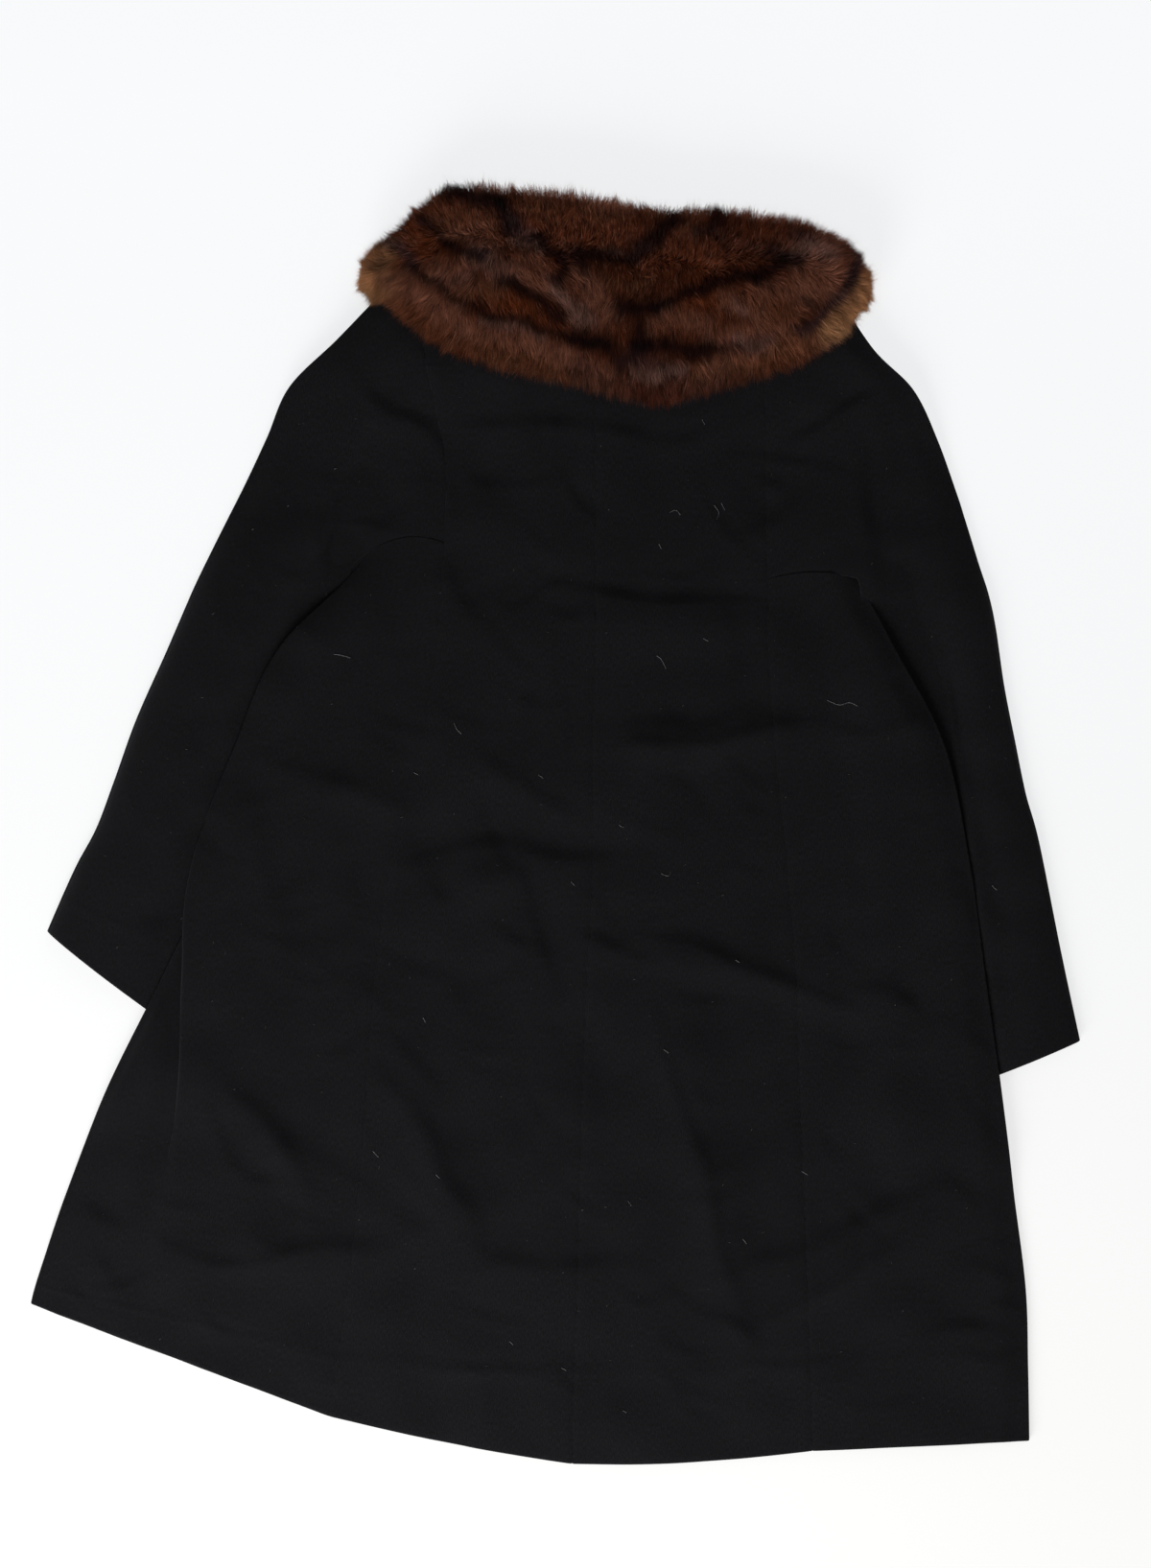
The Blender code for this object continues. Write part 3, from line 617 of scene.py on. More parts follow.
def hem_fade(row_count, steps=ROW_STEPS):
    """The turned-up hem: a faint ridge where its edge ends inside, and a soft drop at the fold."""
    from_hem = (row_count - 1 - np.arange(row_count))[:, None] / steps
    return (0.35 * bell(from_hem - 1.15, 0.10) - 0.5 * bell(from_hem, 0.06)) * MM


def bow_hem(grid, shares, side):
    """Curves the hem of a centre panel down."""
    down = np.linspace(0, 1, len(grid))[:, None] ** 3
    grid[..., 1] -= HEM_BOW[side] * 4 * (shares * (1 - shares))[None, :] * down


def top_seam_dip(row_count):
    """The turned allowances under a side panel's first rows, which stand a little at the underarm seam."""
    down = np.arange(row_count)[:, None] / ROW_STEPS * ROW_PITCH
    return 0.2 * MM * bell(down, 7 * MM)


def underarm_shift(underarm, row_count, shares, steps):
    """How far a side panel's first rows move to follow the curved underarm seam."""
    straight = underarm[0] * (1 - shares[:, None]) + underarm[-1] * shares[:, None]
    place = shares * (len(underarm) - 1)
    curve = np.stack([np.interp(place, np.arange(len(underarm)), column) for column in underarm.T], axis=1)
    fade = np.maximum(0, 1 - np.arange(row_count) / (UNDERARM_FADE * steps))
    return fade[:, None, None] * (curve - straight - (0, SEAM))


def off_edge(to_edge):
    """0 at a panel's folded or side edge, where its creases end, and 1 further in."""
    return smooth(0, 10 * MM, to_edge)


def add_back(side):
    """A centre back, from its princess seam to the centre back seam."""
    seam, centre = back_line(side, ROW_STEPS), back_line("centre", ROW_STEPS)
    grid, to_start, to_end = panel_grid(seam, centre, FINE_SHARES)
    bow_hem(grid, FINE_SHARES, side)
    x, y = np.moveaxis(grid, 2, 0)
    low = back_floor(x, y)
    extra = relief(x, y) + hem_fade(len(seam))
    for to_edge, start in zip((to_start, to_end), PUCKER_STARTS):
        extra += seam_line(reached(seam)[:, None], to_edge, start)
    extra = np.maximum(extra, front_floor(x, y) + CLOTH + overlap_cover(x) + SEAM - low)
    return add_cloth("back_" + side, grid, low + extra)


def add_side_back_right():
    """The right side back, from its princess seam to the side seam, over the sleeve."""
    seam, edge = side_rows("right", ROW_STEPS)
    underarm = sleeve_rows("right", ROW_STEPS)[3]
    grid, to_start, to_end = panel_grid(seam, edge, FINE_SHARES, SEAM / 2, 0)
    grid += underarm_shift(underarm, len(seam), FINE_SHARES, ROW_STEPS)
    x, y = np.moveaxis(grid, 2, 0)
    low = back_floor(x, y, to_end)
    extra = relief(x, y) + seam_line(reached(seam)[:, None], to_start, PUCKER_STARTS[0])
    extra += hem_fade(len(seam)) + top_seam_dip(len(seam))
    extra *= off_edge(to_end)
    extra = np.maximum(extra, front_floor(x, y) + CLOTH + SEAM - low)
    return add_cloth("side_back_right", grid, low + extra)


# The left side back's pleat: how many points its top, each bend, the layer turned in and the lowest layer
# take, how far the lowest layer swells outside the fold, and how far the fold comes down on to the sleeve
# outside the side seam.
PLEAT_TOP, PLEAT_ARC, PLEAT_TURN, PLEAT_LOW = 40, 12, 6, 18
PLEAT_UNDER = 10 * MM
PLEAT_DROOP = 5.5 * MM
# Where it has opened: its crest's width on the inner and the outer side, and the share of the fold's height
# that the crest keeps.
CREST_WIDTHS = (36 * MM, 13 * MM)
CREST_SHARE = 0.62


def top_shares():
    """Shares across the pleat's top layer, from the princess seam nearly to the fold."""
    near = (0.012, 0.03, 0.06)
    return np.concatenate([[0], near, np.linspace(near[-1], 1, PLEAT_TOP - 3)[1:]])[:-1]


def folded_pleat(start, edge, fold, turn, radius):
    """The folded pleat's x and z: over to the fold, round, in under it, round again, and out to the side."""
    side_x, side_y = edge[:, :1], edge[:, 1:]
    ground = front_floor(side_x, side_y) + ON_FRONTS
    fold_x, turn_x = fold + radius, fold + turn - radius
    share = top_shares()
    x, y = start[:, :1] + (fold_x - start[:, :1]) * share, start[:, 1:] + (side_y - start[:, 1:]) * share
    base = back_floor(x, y) + CLOTH / 2
    layers = [(x, base + (ground + 4 * radius - base) * smooth(0.35, 1.0, share))]
    angle = np.linspace(math.pi / 2, 3 * math.pi / 2, PLEAT_ARC)
    layers.append((fold_x + radius * np.cos(angle), ground + 3 * radius + radius * np.sin(angle)))
    share = np.linspace(0, 1, PLEAT_TURN + 1)[1:-1]
    layers.append((fold_x + (turn_x - fold_x) * share, ground + 2 * radius + 0 * share))
    angle = np.linspace(math.pi / 2, -math.pi / 2, PLEAT_ARC)
    layers.append((turn_x + radius * np.cos(angle), ground + radius + radius * np.sin(angle)))
    x = turn_x + (side_x - turn_x) * np.linspace(0, 1, PLEAT_LOW + 1)[1:]
    under = smooth(1 * MM, 24 * MM, fold - x) * smooth(0, 16 * MM, x - side_x)
    lowest = np.maximum(front_floor(x, side_y) + ON_FRONTS, ground)
    layers.append((x, lowest + PLEAT_UNDER * under))
    x, z = (np.hstack(columns) for columns in zip(*layers))
    return x, z - PLEAT_DROOP * smooth(-2 * MM, 28 * MM, side_x - x)


def opened_pleat(start, edge, fold, high, count):
    """The pleat's x and z where it has opened out: one layer, with a crest that its fold has left."""
    start_x, start_y, side_x, side_y = start[:, :1], start[:, 1:], edge[:, :1], edge[:, 1:]
    crest_x = np.maximum(fold, side_x + 12 * MM)
    tuck = np.minimum(24 * MM, 0.4 * (crest_x - side_x))
    stops = [0, len(top_shares()), count - PLEAT_LOW, count - 1]
    reach = np.hstack([start_x, crest_x, crest_x - tuck, side_x])
    x = np.stack([np.interp(np.arange(count), stops, row) for row in reach])
    y = start_y + (side_y - start_y) * (x - start_x) / (side_x - start_x)
    away = x - crest_x
    inner, outer = (bell(away, width) for width in CREST_WIDTHS)
    outer = outer + 0.6 * smooth(10 * MM, 34 * MM, -away)
    crest = CREST_SHARE * np.maximum(high - 4 * MM, 0) * np.where(away > 0, inner, outer)
    return x, back_floor(x, y, np.abs(side_x - x)) + CLOTH / 2 + crest * (y < 0)


def facing_of(x, z):
    """Which way a section's points face, in x and z, each from its two neighbours in the row."""
    facing = np.stack([np.roll(z, -1, 1) - np.roll(z, 1, 1), np.roll(x, 1, 1) - np.roll(x, -1, 1)], axis=2)
    facing[:, 0] = facing[:, -1] = (0, 1)
    return facing / np.maximum(np.linalg.norm(facing, axis=2, keepdims=True), 1e-9)


def add_side_back_left():
    """The left side back, with the pleat that turns over along the sleeve."""
    seam, edge = side_rows("left", ROW_STEPS)
    underarm = sleeve_rows("left", ROW_STEPS)[3]
    fold, turn, high, opened = (
        column_of(PLEAT_ROWS, PLEAT_COLUMNS, name, ROW_STEPS)[:, None]
        for name in ("fold_x", "turn_in", "height", "opened")
    )
    fold, turn, high = fold * MM, turn * MM, high * MM
    start = seam - (SEAM / 2, 0)
    x, z = folded_pleat(start, edge, fold, turn, high / 4)
    rows, count = x.shape
    flat_x, flat_z = opened_pleat(start, edge, fold, high, count)
    x, z = x + (flat_x - x) * opened, z + (flat_z - z) * opened
    part = np.clip((x - start[:, :1]) / (edge[:, :1] - start[:, :1]), 0, 1)
    y = start[:, 1:] + (edge[:, 1:] - start[:, 1:]) * part
    shift = underarm_shift(underarm, rows, part[0], ROW_STEPS)
    x, y = x + shift[..., 0], y + shift[..., 1]
    facing = facing_of(x, z)
    share = np.linspace(0, 1, count)
    to_side = np.abs(edge[:, :1] - x) + 20 * MM * (1 - share)
    extra = (relief(x, y) + hem_fade(rows) + top_seam_dip(rows)) * off_edge(to_side)
    first = share < (len(top_shares()) - 4) / count
    extra += seam_line(reached(seam)[:, None], np.abs(x - start[:, :1]), PUCKER_STARTS[0]) * first
    lowest = front_floor(x, y) + ON_FRONTS
    extra = np.maximum(extra * np.clip(facing[..., 1], 0, 1), np.minimum(lowest - z, 0))
    half = facing * (CLOTH / 2)
    upper, lower = (
        np.stack([x + way * half[..., 0], y, z + way * half[..., 1] + extra], axis=2) for way in (1, -1)
    )
    return wall_of("coat_side_back_left", upper, lower)


# How a sleeve's visible part swells: how high, the shares of its width where it is full and where the body's
# edge lies on it, and the share of the swell that is left there.
SLEEVE_SWELL = {"left": (17 * MM, 0.30, 0.70, 0.10), "right": (9 * MM, 0.24, 0.56, 0.0)}


def sleeve_swell(side, share):
    """How far a sleeve swells at each share of its width, from its outer edge in."""
    height, full, body_edge, left_there = SLEEVE_SWELL[side]
    fall = np.clip((share - full) / (body_edge - full), 0, 1) ** 1.6
    rise = np.sqrt(1 - (1 - np.clip(share / full, 0.01, 1)) ** 2)
    swell = height * rise * (1 - fall * (1 - left_there))
    return swell * (1 - smooth(body_edge + 0.02, body_edge + 0.16, share))


def add_sleeve_back(side):
    """The back half of a raglan sleeve, shoulder and all."""
    outer, inner, free, _ = sleeve_rows(side, ROW_STEPS)
    grid, to_outer, to_inner = panel_grid(outer, inner, FINE_SHARES, 0, SEAM / 2)
    x, y = np.moveaxis(grid, 2, 0)
    share = FINE_SHARES + 0 * x
    row = np.arange(len(outer))[:, None] / ROW_STEPS
    by_body = smooth(0.45, 0.75, share)
    loose = smooth(4.5, 9.5, row) * (1 - by_body) + smooth(0, 1, free) * by_body
    shoulder = back_floor(x, y, to_outer)
    low = shoulder + (CLOTH + SEAM - shoulder) * loose + sleeve_swell(side, share) * smooth(3, 9.5, row)
    along_underarm = smooth(UNDERARM_ROW, UNDERARM_ROW + 0.3, row)
    sewn = seam_line(reached(inner)[:, None], to_inner, PUCKER_STARTS[1]) * (1 - along_underarm)
    sewn -= 0.5 * MM * bell(to_inner, 10 * MM) * along_underarm
    body_edge = SLEEVE_SWELL[side][2]
    uneven = crease_height(x, y) + 0.45 * (small_crease_height(x, y) + waviness(x, y))
    uneven *= off_edge(to_outer) * (1 - loose * smooth(body_edge - 0.1, body_edge, share))
    lowest = front_floor(x, y) * (1 - loose) + CLOTH + SEAM
    low = np.maximum(low + uneven + sewn * (1 - loose), lowest)
    cuff = np.maximum(hem_fade(len(outer), ROW_STEPS * 0.8), -0.3 * MM)
    return add_cloth("sleeve_back_" + side, grid, low, CLOTH + cuff)


def add_sleeve_front(side):
    """The front half of a sleeve, on the floor below the back half."""
    outer, inner, free, _ = sleeve_rows(side, HIDDEN_STEPS)
    grid, _, _ = panel_grid(outer, inner, PLAIN_SHARES, 0, SEAM / 2)
    low = front_floor(*np.moveaxis(grid, 2, 0)) * (1 - smooth(0, 1, free))
    return add_cloth("sleeve_front_" + side, grid, low)


def add_front(side):
    """A centre front, on the floor; the left one lies on the right one at the centre."""
    seam, centre = back_line(side, HIDDEN_STEPS), back_line("centre", HIDDEN_STEPS)
    reach, lift = (FRONT_OVERLAP, OVERLAP_LIFT) if side == "left" else (-FRONT_OVERLAP, 0)
    edge = np.stack([np.full(len(centre), CENTRE_X + reach), centre[:, 1]], axis=1)
    grid, _, _ = panel_grid(seam, edge, PLAIN_SHARES, SEAM / 2, 0)
    bow_hem(grid, PLAIN_SHARES, side)
    low = front_floor(*np.moveaxis(grid, 2, 0)) + lift * np.minimum(1, PLAIN_SHARES / OVERLAP_FROM)
    return add_cloth("front_" + side, grid, low)


def add_side_front(side):
    """A side front, on the floor and over the sleeve's inner part."""
    seam, edge = side_rows(side, HIDDEN_STEPS)
    underarm = sleeve_rows(side, HIDDEN_STEPS)[3]
    grid, _, _ = panel_grid(seam, edge, PLAIN_SHARES, SEAM / 2, 0)
    grid += underarm_shift(underarm, len(seam), PLAIN_SHARES, HIDDEN_STEPS)
    return add_cloth("side_front_" + side, grid, front_floor(*np.moveaxis(grid, 2, 0)))


# ------------------------------------------------------------
# Materials


# The wool's three shades, from the hollows of the nap to its tips.
CLOTH_SHADES = [
    (0.36, (0.0028, 0.0028, 0.0033)),
    (0.58, (0.0058, 0.0058, 0.0068)),
    (0.82, (0.0104, 0.0104, 0.0120)),
]
# The floor's glow, from beyond the hem to beyond the neck.
FLOOR_GLOW = [(0.2, (0.735, 0.735, 0.72)), (0.5, (0.745, 0.75, 0.755)), (0.8, (0.79, 0.80, 0.81))]


def set_inputs(tree, made, inputs):
    """Gives a node's inputs, by name or number, a value each or another node's output."""
    for key, value in inputs.items():
        if isinstance(value, bpy.types.NodeSocket):
            tree.links.new(value, made.inputs[key])
        else:
            made.inputs[key].default_value = value


def node(tree, kind, inputs=None, **settings):
    """A node with some of its inputs and properties set."""
    made = tree.nodes.new("ShaderNode" + kind)
    for key, value in settings.items():
        setattr(made, key, value)
    set_inputs(tree, made, inputs or {})
    return made


def ramp(tree, source, stops):
    """A colour ramp on a value."""
    made = node(tree, "ValToRGB", {0: source})
    for element, (place, colour) in zip(made.color_ramp.elements, (stops[0], stops[-1])):
        element.position, element.color = place, (*colour, 1)
    for place, colour in stops[1:-1]:
        made.color_ramp.elements.new(place).color = (*colour, 1)
    return made.outputs[0]


def new_material(name):
    """A node material, its tree, and its Principled shader."""
    made = bpy.data.materials.new(name)
    made.use_nodes = True
    return made, made.node_tree, made.node_tree.nodes["Principled BSDF"]


def cloth_material():
    """Black napped wool coating: short felted fibres lying down the coat, with faint uneven patches."""
    made, tree, shader = new_material("black_wool")
    where = node(tree, "TexCoord").outputs["Object"]
    patches = node(tree, "TexNoise", {"Vector": where, "Scale": 26.0, "Detail": 3.0, "Roughness": 0.55})
    place = node(tree, "UVMap", uv_map="cloth").outputs[0]
    stretched = node(tree, "Mapping", {"Vector": place, "Scale": (950, 300, 1)}).outputs[0]
    fibres = node(tree, "TexNoise", {"Vector": stretched, "Scale": 1.0, "Detail": 3.0, "Roughness": 0.65})
    mixed = {0: patches.outputs[0], 1: 0.16, 2: fibres.outputs[0]}
    mixed = node(tree, "Math", mixed, operation="MULTIPLY_ADD").outputs[0]
    bump = {"Strength": 0.30, "Distance": 0.4 * MM, "Height": fibres.outputs[0]}
    looks = {
        "Base Color": ramp(tree, mixed, CLOTH_SHADES),
        "Roughness": 0.95,
        "Specular IOR Level": 0.12,
        "Sheen Weight": 0.05,
        "Sheen Roughness": 0.5,
        "Sheen Tint": (0.80, 0.82, 0.90, 1),
        "Normal": node(tree, "Bump", bump).outputs[0],
    }
    set_inputs(tree, shader, looks)
    return made


def floor_material():
    """A plain pale surface lit from below as well, so that shadows on it stay faint."""
    made, tree, shader = new_material("pale_floor")
    apart = node(tree, "SeparateXYZ", {0: node(tree, "TexCoord").outputs["Object"]})
    # from 1 m down the coat to 1 m up it
    share = node(tree, "Math", {0: apart.outputs["Y"], 1: 0.5, 2: 0.5}, operation="MULTIPLY_ADD").outputs[0]
    looks = {
        "Base Color": (0.30, 0.30, 0.30, 1),
        "Roughness": 0.95,
        "Specular IOR Level": 0.0,
        "Emission Color": ramp(tree, share, FLOOR_GLOW),
        "Emission Strength": 1.0,
    }
    set_inputs(tree, shader, looks)
    return made


def fur_material(name, roughness):
    """Fur in the painted shades, with a soft gloss."""
    made, tree, shader = new_material(name)
    shade = node(tree, "VertexColor", layer_name="shade").outputs[0]
    set_inputs(tree, shader, {"Base Color": shade, "Roughness": roughness, "Specular IOR Level": 0.10})
    return made


# ------------------------------------------------------------
# The coat


CLOTH_MATERIAL = cloth_material()


def finish_cloth(piece, cad_node):
    """Gives a piece of cloth its finish, puts it on the root body, and hides the solid that it stands for."""
    piece.data.materials.append(CLOTH_MATERIAL)
    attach(piece, "root")
    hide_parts(cad_node)


def build_cloth():
    """Every piece of cloth, the lowest first."""
    for side in SIDES:
        finish_cloth(add_sleeve_front(side), "sleeve_front_" + side)
        finish_cloth(add_front(side), "front_" + side)
        finish_cloth(add_side_front(side), "side_front_" + side)
        finish_cloth(add_sleeve_back(side), "sleeve_back_" + side)
        finish_cloth(add_back(side), "back_" + side)
    finish_cloth(add_side_back_left(), "side_back_left")
    finish_cloth(add_side_back_right(), "side_back_right")


# ------------------------------------------------------------
# The fur collar


# The collar from end to end over the back, as in the solid: x, rolled upper edge, lower edge, height.
COLLAR_COLUMNS = ("x", "top_y", "low_y", "height")
COLLAR_ROWS = [
    (-159, 464, 440, 8),
    (-152, 474, 429, 16),
    (-141, 482, 426, 19),
    (-116, 508, 404, 22),
    (-86, 526, 385, 24),
    (-39, 524, 370, 25),
    (10, 520, 360, 25),
    (55, 512, 349, 25),
    (91, 506, 344, 25),
    (129, 507, 353, 25),
    (168, 503, 366, 24),
    (207, 496, 378, 23),
    (238, 483, 398, 21),
    (253, 467, 419, 16),
    (261, 455, 433, 8),
]
# The two front collars, which the coat lies on, in the same columns.
FRONT_COLLAR_ROWS = {
    "left": [
        (-158, 462, 441, 8),
        (-151, 472, 430, 13.7),
        (-126, 478, 402, 13.7),
        (-60, 462, 404, 13.7),
        (26, 446, 404, 13.7),
    ],
    "right": [
        (260, 453, 434, 8),
        (252, 466, 421, 13.7),
        (226, 474, 402, 13.7),
        (140, 462, 404, 13.7),
        (36, 446, 404, 13.7),
    ],
}
# The pile across the collar: the share of the way up, and the share of the full height.
PILE_PROFILE = [
    (0.0, 0.10), (0.04, 0.40), (0.16, 0.70), (0.40, 0.88),
    (0.70, 1.0), (0.88, 0.90), (0.97, 0.55), (1.0, 0.15),
]
COLLAR_REST = 1.5 * MM
# The stretches of x in which the collar's two ends come down.
COLLAR_END_DROPS = [(-158 * MM, -152 * MM), (254 * MM, 247 * MM)]

# The pelts' shades; the grey one is painted sheen.
SHADES = {
    "brown": (0.122, 0.029, 0.010),
    "dark": (0.0085, 0.0027, 0.0032),
    "tan": (0.232, 0.084, 0.040),
    "light": (0.305, 0.118, 0.071),
    "gold": (0.430, 0.215, 0.098),
    "red": (0.178, 0.038, 0.009),
    # painted sheen: the gloss of the hair, given as a grey shade
    "painted_grey_sheen": (0.270, 0.140, 0.108),
    "greydark": (0.040, 0.022, 0.027),
}
PAINTED_HIGHLIGHT = np.array([0.13, 0.075, 0.055])  # what the hairs with a painted highlight have more
SKIN_SHADE = 0.45  # the skin below the hair, as a share of the hair's shade
HAIR_STEPS = np.array([0.32, 0.32, 0.95, 0.95, 1.35])  # from a hair's two root points to its tip: dark underfur at the root, the tip lighter as painted sheen

PELT_WANDER = 2.2 * MM  # how far the bands' edges wander
